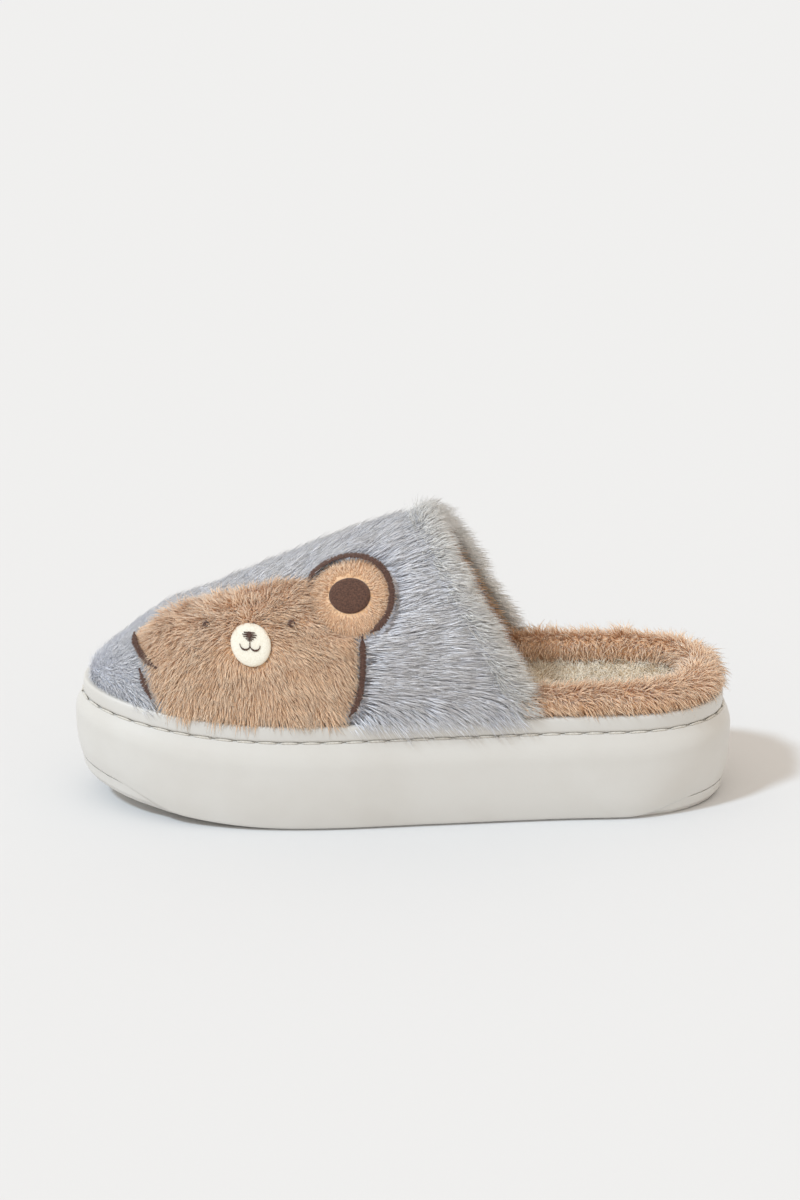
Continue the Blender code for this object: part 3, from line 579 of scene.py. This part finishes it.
def fur_tree():
    tree, given = mesh_tree("fur", {**dict.fromkeys(HABIT, "Float"), "Seed": "Int", "Finish": "Material"})

    def math(operation, a, b=0.0, c=0.0):
        return node(tree, "ShaderNodeMath", operation=operation, inputs={0: a, 1: b, 2: c}).outputs[0]

    def vector(operation, a, b=(0, 0, 0), scale=None):
        inputs = {0: a, "Scale": scale} if scale is not None else {0: a, 1: b}
        return node(tree, "ShaderNodeVectorMath", operation=operation, inputs=inputs).outputs[0]

    def position():
        return node(tree, "GeometryNodeInputPosition").outputs[0]

    def chance(label, low, high, seed):
        inputs = {2: low, 3: high, "Seed": seed}
        return node(tree, "FunctionNodeRandomValue", label, inputs, data_type="FLOAT").outputs[1]

    # One hair of unit length: a three-sided spike, bent back by the curl
    spike = node(tree, "GeometryNodeMeshCone", "one hair", {
        "Vertices": 3, "Side Segments": 2, "Radius Top": 0.0, "Radius Bottom": given["Thickness"],
        "Depth": 1.0})
    parts = node(tree, "ShaderNodeSeparateXYZ", inputs={0: position()}).outputs
    turn = math("MULTIPLY", parts["Z"], given["Curl"])
    across = math("DIVIDE", math("SUBTRACT", 1.0, math("COSINE", turn)), given["Curl"])
    rise = math("DIVIDE", math("SINE", turn), given["Curl"])
    bent = combined(tree, math("ADD", parts["X"], across), parts["Y"], rise)
    shaped = stored(tree, "along", spike.outputs["Mesh"], parts["Z"], "FLOAT", "POINT")
    hair = node(tree, "GeometryNodeSetPosition", "bend", {"Geometry": shaped, "Position": bent}).outputs[0]

    # Roots, scattered over the skin where its density allows
    roots = node(tree, "GeometryNodeDistributePointsOnFaces", "roots", {
        "Mesh": given["Geometry"], "Seed": given["Seed"],
        "Density": math("MULTIPLY", given["Density"], attribute(tree, "dense"))}, distribute_method="RANDOM")
    tufts = noise(tree, "tufts", position(), given["Tuft Scale"], detail=1.5)
    drift = vector("SCALE", vector("SUBTRACT", tufts["Color"], (0.5, 0.5, 0.5)), scale=given["Tuft"])
    stray = node(tree, "FunctionNodeRandomValue", "stray", {
        0: (-1, -1, -1), 1: (1, 1, 1), "Seed": given["Seed"]}, data_type="FLOAT_VECTOR").outputs[0]
    comb = vector("ADD", attribute(tree, "comb", "FLOAT_VECTOR"),
                  vector("ADD", drift, vector("SCALE", stray, scale=given["Frizz"])))
    lean = vector("ADD", vector("SCALE", roots.outputs["Normal"], scale=given["Lift"]), comb)


    # Lengths vary hair by hair and tuft by tuft, and so do the tints
    luck = chance("length", SHORTEST, LONGEST, given["Seed"])
    tall = math("MULTIPLY_ADD", tufts["Fac"], 0.9, 0.55)
    coat = math("MULTIPLY", given["Length"], attribute(tree, "pile"))
    size = math("MULTIPLY", coat, math("MULTIPLY", luck, tall))
    grown = placed(tree, "hairs", roots.outputs["Points"], smoothed(tree, hair),
                   turned(tree, "Z", lean, "X", comb), combined(tree, size, size, size))
    streaks = noise(tree, "streaks", position(), STREAK_SCALE, detail=2.0)["Fac"]
    streak = math("MULTIPLY_ADD", streaks, STREAK_GAIN, STREAK_SHIFT)
    tint = node(tree, "ShaderNodeMath", operation="ADD", use_clamp=True, inputs={
        0: streak, 1: chance("own tint", -OWN_TINT, OWN_TINT, 3)})
    tinted = stored(tree, "tint", grown, tint.outputs[0], "FLOAT", "INSTANCE")
    real = node(tree, "GeometryNodeRealizeInstances", inputs={"Geometry": tinted})
    bake = combined(tree, attribute(tree, "tint"), attribute(tree, "along"))
    end_tree(tree, stored(tree, "OFBake", real.outputs[0], bake, "FLOAT2", "CORNER"), given["Finish"])
    return tree


FUR = fur_tree()


def skin_for_fur(points, faces, comb, pile, dense, outward):
    """A bare mesh that carries how the hair is combed, how long it is and where it grows."""
    mesh = new_mesh("skin_for_fur", points, faces)
    outward = np.broadcast_to(np.reshape(outward, (-1, 3)), (len(mesh.vertices), 3))
    if sum(Vector(outward[face.vertices[0]]).dot(face.normal) for face in mesh.polygons) < 0:
        mesh.flip_normals()
    store(mesh, "comb", unit(np.reshape(comb, (-1, 3)), least=1))
    for name, values in (("pile", pile), ("dense", dense)):
        store(mesh, name, np.broadcast_to(np.ravel(values), len(mesh.vertices)))
    return mesh


def grow(name, skin, material):
    """Grows a pile of the table on a skin and keeps it as a plain mesh."""
    mesh = made_by(FUR, name, skin, material, dict(zip(HABIT, PILES[name])))
    for old in ("comb", "pile", "dense"):
        if old in mesh.attributes:
            mesh.attributes.remove(mesh.attributes[old])
    print(name, len(mesh.polygons), "faces")
    add_piece(name, mesh)


# %% [markdown]
# ## The footbed
#
# A cream pad with a curled, matted pile. The pad is skinned as the sole is. Short, thick hairs with no
# common direction stand on its top, much more curled than the vamp's.

# %% Insole and its curled pile
INSOLE_STEPS, INSOLE_LOFT, INSOLE_DISH = 90, INSOLE_THICK + 0.0032, 0.0012
# Columns: how far a ring stands in from the pad's side, share of the loft that it stands up
INSOLE_TABLE = ((0.0, 0.0), (0.0, 0.5), (0.0006, 0.78), (0.002, 0.95), (0.004, 1.0))
PILE_FROM, PILE_RUN = 0.09, 0.05


def insole():
    rings = [ring(INSOLE_STEPS, INSOLE_INSET + inset, lambda x, up=up: ledge_z(x) + GAP + up * INSOLE_LOFT)
             for inset, up in INSOLE_TABLE]
    dished = INSOLE_LOFT - INSOLE_DISH
    rings.append(ring(INSOLE_STEPS, INSOLE_INSET + 0.014, lambda x: ledge_z(x) + GAP + dished))
    return stacked(rings)


points, faces = insole()
add_mesh("insole_pad", points, faces, CREAM_SKIN, "cream_plush", ["insole"])
on_top = points[:, 2] > ledge_z(points[:, 0]) + 0.8 * INSOLE_THICK
shown = np.clip((points[:, 0] - PILE_FROM) / PILE_RUN, 0, 1) * on_top
skin = skin_for_fur(points, faces, rng.normal(size=points.shape) * (1, 1, 0.1), 1.0, shown, (0, 0, 1))
grow("insole_pile", skin, CREAM_PILE)

# %% [markdown]
# ## The teddy's pattern pieces, flat
#
# Head, ears and muzzle are cut flat and then laid on the vamp. So they are drawn here on a flat pattern:
# how far back from the toe, and how far up the side from the rim. A table of the vamp's girth at many
# stations turns a flat point into a place on the last and back. The teddy is a plain one of this scene's
# own drawing.

# %% Flat pattern and outlines
HEAD, HEAD_WIDTH, CROWN, CHIN = np.array([0.072, 0.0265]), 0.080, 0.030, 0.033
TILT, HEM, HEAD_POWER = 0.15, 0.0015, 0.72
NEAR_EAR, NEAR_EAR_WIDTH = np.array([0.111, 0.050]), 0.031
FAR_EAR, FAR_EAR_WIDTH, FAR_TIP_SHARE = np.array([0.0390, 0.0270]), 0.0225, 0.40
INNER_EAR_WIDTH, MUZZLE, MUZZLE_SIZE = 0.016, np.array([0.0725, 0.030]), (0.0155, 0.0165)

GIRTH_X = np.linspace(SHELL_INSET + 0.0008, THROAT_BACK + 0.01, 160)
GIRTH_ANGLE = np.linspace(0, pi, 181)
section = vamp_surface(*np.meshgrid(GIRTH_X, GIRTH_ANGLE, indexing="ij"))
GIRTH = np.concatenate([np.zeros((len(GIRTH_X), 1)),
                        np.cumsum(np.linalg.norm(np.diff(section, axis=1), axis=2), axis=1)], axis=1)


def girth_row(x):
    at = np.clip((x - GIRTH_X[0]) / (GIRTH_X[1] - GIRTH_X[0]), 0, len(GIRTH_X) - 1.001)
    i = int(at)
    return GIRTH[i] + (GIRTH[i + 1] - GIRTH[i]) * (at - i)


def to_flat(x, angle):
    """Flat pattern positions of points on the vamp."""
    ups = [np.interp(a, GIRTH_ANGLE, girth_row(at)) for at, a in zip(x.ravel(), angle.ravel())]
    return np.stack([x, np.reshape(ups, x.shape)], axis=-1)


def laid(flat, height):
    """Points of the flat pattern laid on the vamp at a height, and the vamp's normal there."""
    x = np.maximum(flat[..., 0], SHELL_INSET + 0.001)
    angles = [np.interp(up, girth_row(at), GIRTH_ANGLE) for at, up in zip(x.ravel(), flat[..., 1].ravel())]
    angle = np.reshape(angles, x.shape)
    return vamp_point(x, angle, height), vamp_frame(x, angle)[0]


def head_edge(turns):
    """A soft square that leans up with the instep and is cut off along the rim."""
    across, up = (np.sign(part) * np.abs(part) ** HEAD_POWER for part in (np.cos(turns), np.sin(turns)))
    x = HEAD[0] + 0.5 * HEAD_WIDTH * across
    rise = np.where(up > 0, CROWN * up, CHIN * up) + TILT * (x - HEAD[0]) * np.clip(up + 0.5, 0, 1)
    return np.stack([x, np.maximum(HEAD[1] + rise, HEM)], axis=1)


def arc(centre, radius_x, radius_y, turns):
    return np.stack([centre[0] + radius_x * np.cos(turns), centre[1] + radius_y * np.sin(turns)], axis=1)


def oval(centre, width, height, count):
    return arc(centre, 0.5 * width, 0.5 * height, around(count))


def inside(spots, edge_points):
    """Which flat points lie inside a closed edge, by how often the edge goes round them."""
    away = edge_points[None, :, :] - spots[:, None, :]
    turn = np.arctan2(away[..., 1], away[..., 0])
    steps = np.diff(np.concatenate([turn, turn[:, :1]], axis=1), axis=1)
    return np.abs(((steps + pi) % (2 * pi) - pi).sum(axis=1)) > pi


def trimmed(edge_points, centre, blocked):
    """Draws each edge point back to the centre until it is clear of what is blocked."""
    shares = np.linspace(1, 0.02, 160)
    lines = centre + shares[None, :, None] * (edge_points - centre)[:, None, :]
    clear = ~blocked(lines.reshape(-1, 2)).reshape(lines.shape[:2])
    return lines[np.arange(len(lines)), clear.argmax(axis=1)]


def around(count):
    return np.linspace(0, 2 * pi, count, endpoint=False)


def near_ear_at(spots):
    return np.linalg.norm(spots - NEAR_EAR, axis=1) < 0.5 * NEAR_EAR_WIDTH + 0.0005


whole_head = head_edge(around(240))
head_outline = trimmed(whole_head, HEAD, near_ear_at)
near_outline = oval(NEAR_EAR, NEAR_EAR_WIDTH, NEAR_EAR_WIDTH, 96)
FAR_TIP = FAR_EAR + FAR_TIP_SHARE * FAR_EAR_WIDTH * unit(FAR_EAR - HEAD)
far_outline = trimmed(oval(FAR_EAR, FAR_EAR_WIDTH, FAR_EAR_WIDTH, 96), FAR_TIP,
                      lambda spots: inside(spots, whole_head))


def satin_path(centre, radius_x, radius_y, start, end, count):
    return arc(centre, radius_x, radius_y, np.radians(np.linspace(start, end, count)))


def side_path(side, low, high, out=0.0034):
    """A line up one side of the head, just outside its edge."""
    keep = (side * (whole_head[:, 0] - HEAD[0]) > 0) & (whole_head[:, 1] > low) & (whole_head[:, 1] < high)
    path = whole_head[keep] + (side * out, 0)
    return path[np.argsort(path[:, 1])]


near_ring, far_ring = 0.5 * NEAR_EAR_WIDTH + 0.0009, 0.5 * FAR_EAR_WIDTH + 0.0006
SATIN_PATHS = [
    satin_path(NEAR_EAR, near_ring, near_ring, -62, 158, 90),
    satin_path(FAR_EAR, far_ring, far_ring, 172, 256, 40),
    side_path(1, 0.0035, 0.034), side_path(-1, 0.004, 0.014),
]
stitched_line = np.concatenate(SATIN_PATHS)
print("pattern pieces drawn")

# %% [markdown]
# ## The vamp
#
# The wall is one knit shell: a sheet over the last, thickened inwards. Its grey blue pile is long and lies
# back towards the heel. It is grown in three coats, as a real pelt has them: a dense short undercoat, and
# two coats of longer guard hair in loose tufts. None grows where the teddy is sewn on or its outline is
# stitched.

# %% Vamp shell
ROWS, COLUMNS, EDGE_TURN = 60, 90, 0.012


def sheet_over_last(height):
    """A grid over the vamp from the toe to the topline, with a skirt down to the ledge on both sides."""
    along = np.linspace(0, 1, ROWS + 1)[1:]
    angle = np.concatenate([[0], np.linspace(EDGE_TURN, pi - EDGE_TURN, COLUMNS - 1), [pi]])
    rows, columns = np.meshgrid(along, angle, indexing="ij")
    x = vamp_x(rows, columns)
    grid = vamp_point(x, columns, height)
    skirt = [grid[:, 0].copy(), grid[:, -1].copy()]
    for side in skirt:
        side[:, 2] = ledge_z(side[:, 0]) + GAP
    grid = np.concatenate([skirt[0][:, None], grid, skirt[1][:, None]], axis=1)
    return x, columns, grid


def wall(name, height, thick, material, slot, replaces=()):
    """A sheet over the last, thickened inwards with Solidify and kept as a plain mesh."""
    _, _, grid = sheet_over_last(height)
    rows, columns = grid.shape[:2]
    tip = np.array([[SHELL_INSET - height, 0, rim_top(0)], [SHELL_INSET - height, 0, ledge_z(0) + GAP]])
    nose = rows * columns
    faces = grid_faces(rows, columns) + [(nose, j, j + 1) for j in range(1, columns - 2)]
    faces += [(nose, nose + 1, 0, 1), (nose, columns - 2, columns - 1, nose + 1)]
    piece = add_mesh(name, np.concatenate([grid.reshape(-1, 3), tip]), faces, material, slot, replaces)
    thicken = piece.modifiers.new("wall", "SOLIDIFY")
    thicken.thickness, thicken.offset = thick, -1
    solid = evaluated_mesh(piece)
    piece.modifiers.clear()
    piece.data = solid


wall("vamp_shell", 0.0008, 0.0022, BLUE_SKIN, "blue_grey_fur", ["upper"])
wall("vamp_lining", -0.0016, 0.0013, TAN_SKIN, "tan_plush")
print("vamp shell and lining made")

# %% Vamp pile
HEM_BAND, TOE_BAND, STITCH_CLEAR = 0.012, 0.048, 0.0024
x, angle, grid = sheet_over_last(0.0006)
grid = grid[:, 1:-1]
normal, back = vamp_frame(x, angle)
flat = to_flat(x, angle).reshape(-1, 2)
sewn = inside(flat, whole_head) | inside(flat, near_outline) | inside(flat, far_outline)
sewn |= (np.abs(flat[:, 0] - HEAD[0]) < 0.49 * HEAD_WIDTH) & (flat[:, 1] < 0.3 * CHIN)
sewn |= np.linalg.norm(flat[:, None] - stitched_line[None], axis=2).min(axis=1) < STITCH_CLEAR
low_down = np.clip(1 - (grid[..., 2] - rim_top(grid[..., 0])) / HEM_BAND, 0, 1)[..., None]
from_toe = np.clip((x - SHELL_INSET) / TOE_BAND, 0, 1)
low_down = low_down * (0.25 + 0.75 * from_toe[..., None])
over_rim = np.array([0, 0, -0.75]) + 0.75 * normal * (1, 1, 0)
comb = (1 - 0.45 * low_down) * back + low_down * over_rim + np.array([0, 0, -0.06])
dense = ~sewn * (1.6 - 0.6 * from_toe.ravel())
for coat in ("under", "guard_a", "guard_b"):
    skin = skin_for_fur(grid, grid_faces(*x.shape), comb, 0.40 + 0.60 * from_toe, dense, normal)
    grow("vamp_pile_" + coat, skin, BLUE_PILE)

# %% [markdown]
# ## The topline binding
#
# The vamp's edge is bound with a strip of paler plush. Its core is a soft tube along the leaning topline,
# and its pile lies back over the opening. The side of the tube that looks in has the lining's tan pile.

# %% Binding
BINDING_ROWS, BINDING_TURNS = 120, 16


def binding():
    """The tube without its pile: rows of points along it, one row for each place round its section."""
    angle = np.linspace(EDGE_TURN, pi - EDGE_TURN, BINDING_ROWS)
    turns = around(BINDING_TURNS)
    back = BINDING_WIDTH * (0.5 - 0.44 * np.cos(turns))
    pad = 0.35 * BINDING_PAD
    heights = 0.5 * (pad - WALL) + 0.5 * (pad + WALL) * 0.9 * np.sin(turns)
    return np.stack([vamp_point(vamp_x(1, angle, b), angle, h) for b, h in zip(back, heights)])


tube = binding()
side, caps = tube_faces(tube)
add_mesh("binding_core", tube, side + caps, BLUE_SKIN, "pale_fur", ["topline_binding"])
outward = unit(tube - tube.mean(axis=0))
comb = np.array([0.9, 0, -0.15]) + 0.25 * outward
outer = np.repeat(np.sin(around(BINDING_TURNS)) > -0.55, BINDING_ROWS)
grow("binding_pile", skin_for_fur(tube, side, comb, 1.0, outer, outward), PALE_PILE)
grow("lining_edge_pile", skin_for_fur(tube, side, comb, 1.0, ~outer, outward), TAN_PILE)

# %% [markdown]
# ## The lining
#
# Inside, the vamp is lined with the same tan plush as the collar. Only what can be seen through the
# opening gets hair of its own: further in, the knit with its nap is enough.

# %% Lining pile
LINING_SHOWN, LINING_FADE = 0.062, 0.02
x, angle, grid = sheet_over_last(-0.0028)
normal, back = vamp_frame(x, angle)
near_opening = np.clip((x - vamp_x(1, angle) + LINING_SHOWN) / LINING_FADE, 0, 1)
comb = 0.8 * back + np.array([0, 0, -0.5])
skin = skin_for_fur(grid[:, 1:-1], grid_faces(*x.shape), comb, 1.0, near_opening, -normal)
grow("lining_pile", skin, TAN_PILE)

# %% [markdown]
# ## The heel collar
#
# The collar is a stuffed roll of tan plush that stands inside the rim strip, from one end of the binding
# round the heel to the other, a little higher on the medial side. Its pile falls away from the crest on
# both sides and hangs over the strip.

# %% Collar
COLLAR_STEPS = 180



def collar():
    """The roll without its pile: rows of points along it, one row for each place round its section."""
    way = np.linspace(0, 1, COLLAR_STEPS + 1)
    rise = COLLAR_RISE + COLLAR_LIFT * way**2 * (3 - 2 * way)
    place = np.arange(len(COLLAR_TABLE), dtype=float)
    fine = np.linspace(0, len(COLLAR_TABLE) - 1, 33)
    across, up, bulge = (smooth(fine, place, COLLAR_TABLE[:, i]) for i in range(3))
    start, rows = THROAT_BACK + 0.35 * BINDING_WIDTH, []
    for a, u, b in [(0, -0.6, 0)] + list(zip(across, up, bulge)) + [(WALL / COLLAR_THICK, -0.6, 0)]:
        inset = SHELL_INSET + 0.0008 + 0.93 * a * COLLAR_THICK - 0.6 * b * COLLAR_BULGE
        flat = []
        for side in (-1, 1):
            share, x, y = outline_side(side, inset)
            front = np.interp(start - max(u, 0) * COLLAR_RISE * THROAT_LEAN / INSTEP_HEIGHT, x, share)
            half = (1 - 2 * way[way <= 0.5]) if side < 0 else (2 * way[way > 0.5] - 1)
            at = 1 - half * (1 - front)
            flat.append(np.stack([np.interp(at, share, x), np.interp(at, share, y)], axis=1))
        flat = np.concatenate(flat)
        rows.append(np.column_stack([flat, rim_top(flat[:, 0]) + 0.0004 + 0.84 * u * rise]))
    return np.stack(rows)


roll = collar()
side, caps = tube_faces(roll)
add_mesh("collar_roll", roll, side + caps, TAN_SKIN, "tan_plush", ["heel_collar"])
crest = np.linspace(-1, 1, len(roll))[:, None, None]
fall = 0.9 * np.tanh(2.5 * (crest + 0.05)) * unit(np.gradient(roll, axis=0))
comb = fall + 0.25 * unit(np.gradient(roll, axis=1))
pile = np.broadcast_to(1 - 0.35 * np.clip(crest[..., 0], 0, 1), roll.shape[:2])
grows = np.ones(roll.shape[:2])
grows[[0, -2, -1]] = 0
for coat in ("under", "guard"):
    skin = skin_for_fur(roll, side, comb, pile, grows, roll - roll.mean(axis=0))
    grow("collar_pile_" + coat, skin, TAN_PILE)

# %% [markdown]
# ## The teddy
#
# Each flat piece is filled with rings drawn in to its centre, laid on the vamp and given a soft edge. The
# head has a plush a little shorter than the vamp's pile, combed down and away from the muzzle. The ears
# are shorter still, so they read as separate pieces. Muzzle and inner ear are felt.

# %% Teddy pieces
PAD_BASE, PILE_ROOT = 0.0010, 0.002


def patch(centre, edge_points, base, thick, rings, soft=0.16):
    """A soft-edged pad of a flat pattern: its front, then its back, from the centre outwards and in again."""
    shares = 1 - (1 - np.linspace(0, 1, rings)) ** 1.3
    flat = centre + shares[:, None, None] * (edge_points - centre)[None]
    rim = np.clip((shares - (1 - soft)) / soft, 0, 1)
    front, _ = laid(flat, base + thick * np.sqrt(1 - 0.93 * rim**2)[:, None])
    bottom, _ = laid(flat[::-3], base)
    return np.concatenate([front, bottom]), flat


def add_patch(name, centre, edge_points, material, slot, replaces, **shape):
    """Adds a pad and gives back its front, laid on the vamp and flat. shape goes to patch."""
    grid, flat = patch(centre, edge_points, **shape)
    add_mesh(name, grid, grid_faces(*grid.shape[:2], closed=True), material, slot, replaces, merge=True)
    return grid[:len(flat)], flat


def patch_pile(name, grid, flat, toward, keep):
    """Pile on a patch's front, longer along the hem. toward is each hair's way on the flat pattern."""
    step = 0.0008
    ahead, _ = laid(flat + step * toward, PILE_ROOT)
    here, normal = laid(flat, PILE_ROOT)
    pile = 1 + 0.45 * np.clip(1 - (flat[..., 1] - HEM) / 0.007, 0, 1)
    faces = grid_faces(*flat.shape[:2], closed=True)
    skin = skin_for_fur(grid, faces, (ahead - here) / step, pile, keep, normal)
    grow(name, skin, TAN_PILE)


grid, flat = add_patch("teddy_head_pad", HEAD, head_outline, TAN_SKIN, "tan_plush", ["teddy_head"],
                       base=PAD_BASE, thick=0.0022, rings=26)
from_muzzle = flat - MUZZLE
reach = np.linalg.norm(from_muzzle / MUZZLE_SIZE, axis=2, keepdims=True)
toward = 0.50 * unit(from_muzzle, 1e-4) * np.clip(1.6 - 0.35 * reach, 0.25, 1) + np.array([0.10, -0.50])
patch_pile("teddy_head_pile", grid, flat, toward, reach[..., 0] > 0.50)

for name, middle, centre, outline, bare in (("near", NEAR_EAR, NEAR_EAR, near_outline, 0.5 * INNER_EAR_WIDTH),
                                            ("far", FAR_EAR, FAR_TIP, far_outline, 0.0)):
    grid, flat = add_patch(f"teddy_{name}_ear_pad", centre, outline, TAN_SKIN, "tan_plush",
                           [f"teddy_{name}_ear"], base=PAD_BASE, thick=0.0016, rings=16)
    from_middle = flat - middle
    clear = np.linalg.norm(from_middle, axis=2) > bare
    patch_pile(f"teddy_{name}_ear_pile", grid, flat, 0.8 * unit(from_middle, 1e-4), clear)

inner_ear = oval(NEAR_EAR, INNER_EAR_WIDTH, 0.9 * INNER_EAR_WIDTH, 64)
add_patch("teddy_inner_ear_felt", NEAR_EAR, inner_ear, BROWN_FELT, "brown_felt", ["teddy_inner_ear"],
          base=0.0026, thick=0.0011, rings=12)
muzzle = oval(MUZZLE, *MUZZLE_SIZE, 64)
add_patch("teddy_muzzle_felt", MUZZLE, muzzle, CREAM_FELT, "cream_felt", ["teddy_muzzle"],
          base=0.0040, thick=0.0016, rings=14, soft=0.4)
print("teddy laid on")

# %% [markdown]
# ## Embroidery and stitches
#
# Satin stitch is many threads laid side by side across a line. A second node tree puts one small rounded
# bar on each point of a path, turned by the path's own `way` and `up`. The same tree makes the outline
# round the teddy, its nose, mouth and eyes, and the run of stitches in the groove under the rim strip.

# %% The stitch tree
SATIN_STEP, SATIN_BAR, BAR_HEIGHT = 0.00032, 0.00055, 0.0007


def stitch_tree():
    tree, given = mesh_tree("stitches", {"Width": "Float", "Height": "Float", "Finish": "Material"})
    bar = node(tree, "GeometryNodeMeshUVSphere", "one stitch", {"Segments": 8, "Rings": 6, "Radius": 0.5})
    way, up = (attribute(tree, name, "FLOAT_VECTOR") for name in ("way", "up"))
    size = combined(tree, attribute(tree, "reach"), given["Width"], given["Height"])
    bars = placed(tree, "stitches", given["Geometry"], smoothed(tree, bar.outputs["Mesh"]),
                  turned(tree, "X", way, "Z", up), size)
    real = node(tree, "GeometryNodeRealizeInstances", inputs={"Geometry": bars})
    end_tree(tree, real.outputs[0], given["Finish"])
    return tree


STITCHES = stitch_tree()


def stitch(name, points, way, up, reach, width, height, material):
    """One bar on each point: reach long the way it runs, width broad, height high."""
    mesh = new_mesh(name + "_points", points)
    for label, values in (("way", way), ("up", up), ("reach", np.broadcast_to(reach, len(points)))):
        store(mesh, label, values)
    made = made_by(STITCHES, name, mesh, material, {"Width": width, "Height": height})
    print(name, len(points), "stitches")
    add_piece(name, made)


def even(path, step):
    """The path again, with a point at every step along it, and the direction there."""
    run = np.concatenate([[0], np.cumsum(np.linalg.norm(np.diff(path, axis=0), axis=1))])
    at = np.linspace(0, run[-1], max(2, int(run[-1] / step)))
    spots = np.stack([np.interp(at, run, path[:, i]) for i in range(path.shape[1])], axis=1)
    return spots, unit(np.gradient(spots, axis=0))


def satin(name, paths, reach, height, step=SATIN_STEP, bar=SATIN_BAR):
    """Brown satin stitch along flat paths, laid on the vamp at a height. reach is how wide the line is."""
    rows = []
    for path in paths:
        flat, _ = even(path, step)
        points, normal = laid(flat, height)
        across = unit(np.cross(np.gradient(points, axis=0), normal))
        taper = np.clip(np.minimum(np.arange(len(flat)), np.arange(len(flat))[::-1]) / 6, 0.35, 1)
        across = across + 0.12 * rng.normal(size=across.shape)
        rows.append((points, across, normal, reach * taper * rng.uniform(0.85, 1.15, len(flat))))
    places, ways, ups, reaches = (np.concatenate(column) for column in zip(*rows))
    stitch(name, places, ways, ups, reaches, bar, BAR_HEIGHT, BROWN_STITCH)


# %% Outline, face and groove stitches
satin("teddy_outline_stitch", SATIN_PATHS, reach=0.0031, height=0.0046, step=0.00050, bar=0.0008)
nose = MUZZLE + (0.0, 0.0022)
# Columns: how far a row of the nose lies above its middle, half its length
NOSE_TABLE = ((0.0016, 0.0019), (0.0008, 0.0025), (0.0, 0.0022), (-0.0008, 0.0013), (-0.0014, 0.0006))
rows = [np.array([[nose[0] - half, nose[1] + up], [nose[0] + half, nose[1] + up]]) for up, half in NOSE_TABLE]
satin("teddy_nose_stitch", rows, reach=0.0013, height=0.0060)
smile = [satin_path(nose + (side * 0.0019, -0.0030), 0.0019, 0.0018, 180, 360, 24) for side in (-1, 1)]
smile.append(np.array([nose + (0, -0.0012), nose + (0, -0.0032)]))
satin("teddy_mouth_stitch", smile, reach=0.0008, height=0.0059)
EYES = ((-0.0165, 0.0052), (0.0165, 0.0078))
eyes = [satin_path(MUZZLE + spot, 0.0011, 0.0009, 0, 300, 16) for spot in EYES]
satin("teddy_eye_stitch", eyes, reach=0.0016, height=0.0066)

GROOVE_STEP, GROOVE_STITCH, GROOVE_THREAD = 0.0085, 0.0078, 0.0009
loop = ring(900, RIM_SETBACK - 0.0001, lambda x: ledge_z(x) + 0.0004)
spots, way = even(np.concatenate([loop, loop[:1]]), GROOVE_STEP)
stitch("groove_stitches", spots, way, np.tile([0.0, 0.0, 1.0], (len(spots), 1)), GROOVE_STITCH, GROOVE_THREAD,
       GROOVE_THREAD, THREAD)

# %% [markdown]
# ## Camera, floor and light
#
# The camera stands at the slipper's lateral side, about 1.5 m away and 19.5 degrees above the floor, where
# the outline of the sole fits the photograph's. The floor is plain and pale. One soft sun from the front
# left gives the short warm shadow behind the heel, and an even pale world fills the rest.

# %% Camera
AZIMUTH, ELEVATION, DISTANCE, LENS, SENSOR = radians(-1.3), radians(19.5), 1.497, 110.9, 36
RIGHT_SHIFT, UP_SHIFT, AIM_HEIGHT = -0.0015, 0.0377, 0.040

aim = Vector((0.5 * SOLE_LENGTH + SHIFT[0], SHIFT[1], AIM_HEIGHT))
back = Vector((sin(AZIMUTH) * cos(ELEVATION), -cos(AZIMUTH) * cos(ELEVATION), sin(ELEVATION)))
right = Vector((cos(AZIMUTH), sin(AZIMUTH), 0))
camera_data = bpy.data.cameras.new("camera")
camera_data.sensor_width, camera_data.lens, camera_data.clip_end = SENSOR, LENS, 50
camera = new_object("camera", camera_data)
camera.location = aim + back * DISTANCE + right * RIGHT_SHIFT + back.cross(right) * UP_SHIFT
camera.rotation_euler = back.to_track_quat("Z", "Y").to_euler()
bpy.context.scene.camera = camera

# %% Floor, sun and world
FLOOR_REACH, FLOOR_COLOUR = 30, "#DFDFDF"
SUN_STRENGTH, SUN_ANGLE, SUN_COLOUR, SUN_FROM = 1.86, radians(7), (0.72, 0.86, 1.0), (-0.72, -0.50, 1.0)
WORLD_COLOUR, WORLD_STRENGTH = (0.80, 0.735, 0.665, 1), 1.08

floor_mesh = bpy.data.meshes.new("floor")
corners = [(x * FLOOR_REACH, y * FLOOR_REACH, 0) for x, y in ((-1, -1), (1, -1), (1, 1), (-1, 1))]
floor_mesh.from_pydata(corners, [], [(0, 1, 2, 3)])
floor = new_object("floor", floor_mesh)
floor_mesh.materials.append(finish_material("floor_pale", FLOOR_COLOUR, 0.9, Specular_IOR_Level=0.0)[0])
floor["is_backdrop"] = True

sun_data = bpy.data.lights.new("sun", "SUN")
sun_data.energy, sun_data.angle, sun_data.color = SUN_STRENGTH, SUN_ANGLE, SUN_COLOUR
sun = new_object("sun", sun_data)
sun.rotation_euler = Vector(SUN_FROM).to_track_quat("Z", "Y").to_euler()

world = bpy.data.worlds.new("studio")
bpy.context.scene.world = world
world.use_nodes = True
sky = world.node_tree.nodes["Background"].inputs
sky["Color"].default_value, sky["Strength"].default_value = WORLD_COLOUR, WORLD_STRENGTH
bpy.context.scene.view_settings.view_transform = "Standard"

# %% Write the sizes and finish
low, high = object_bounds()
print("visual box:", [round(v, 4) for v in (*low, *high)])
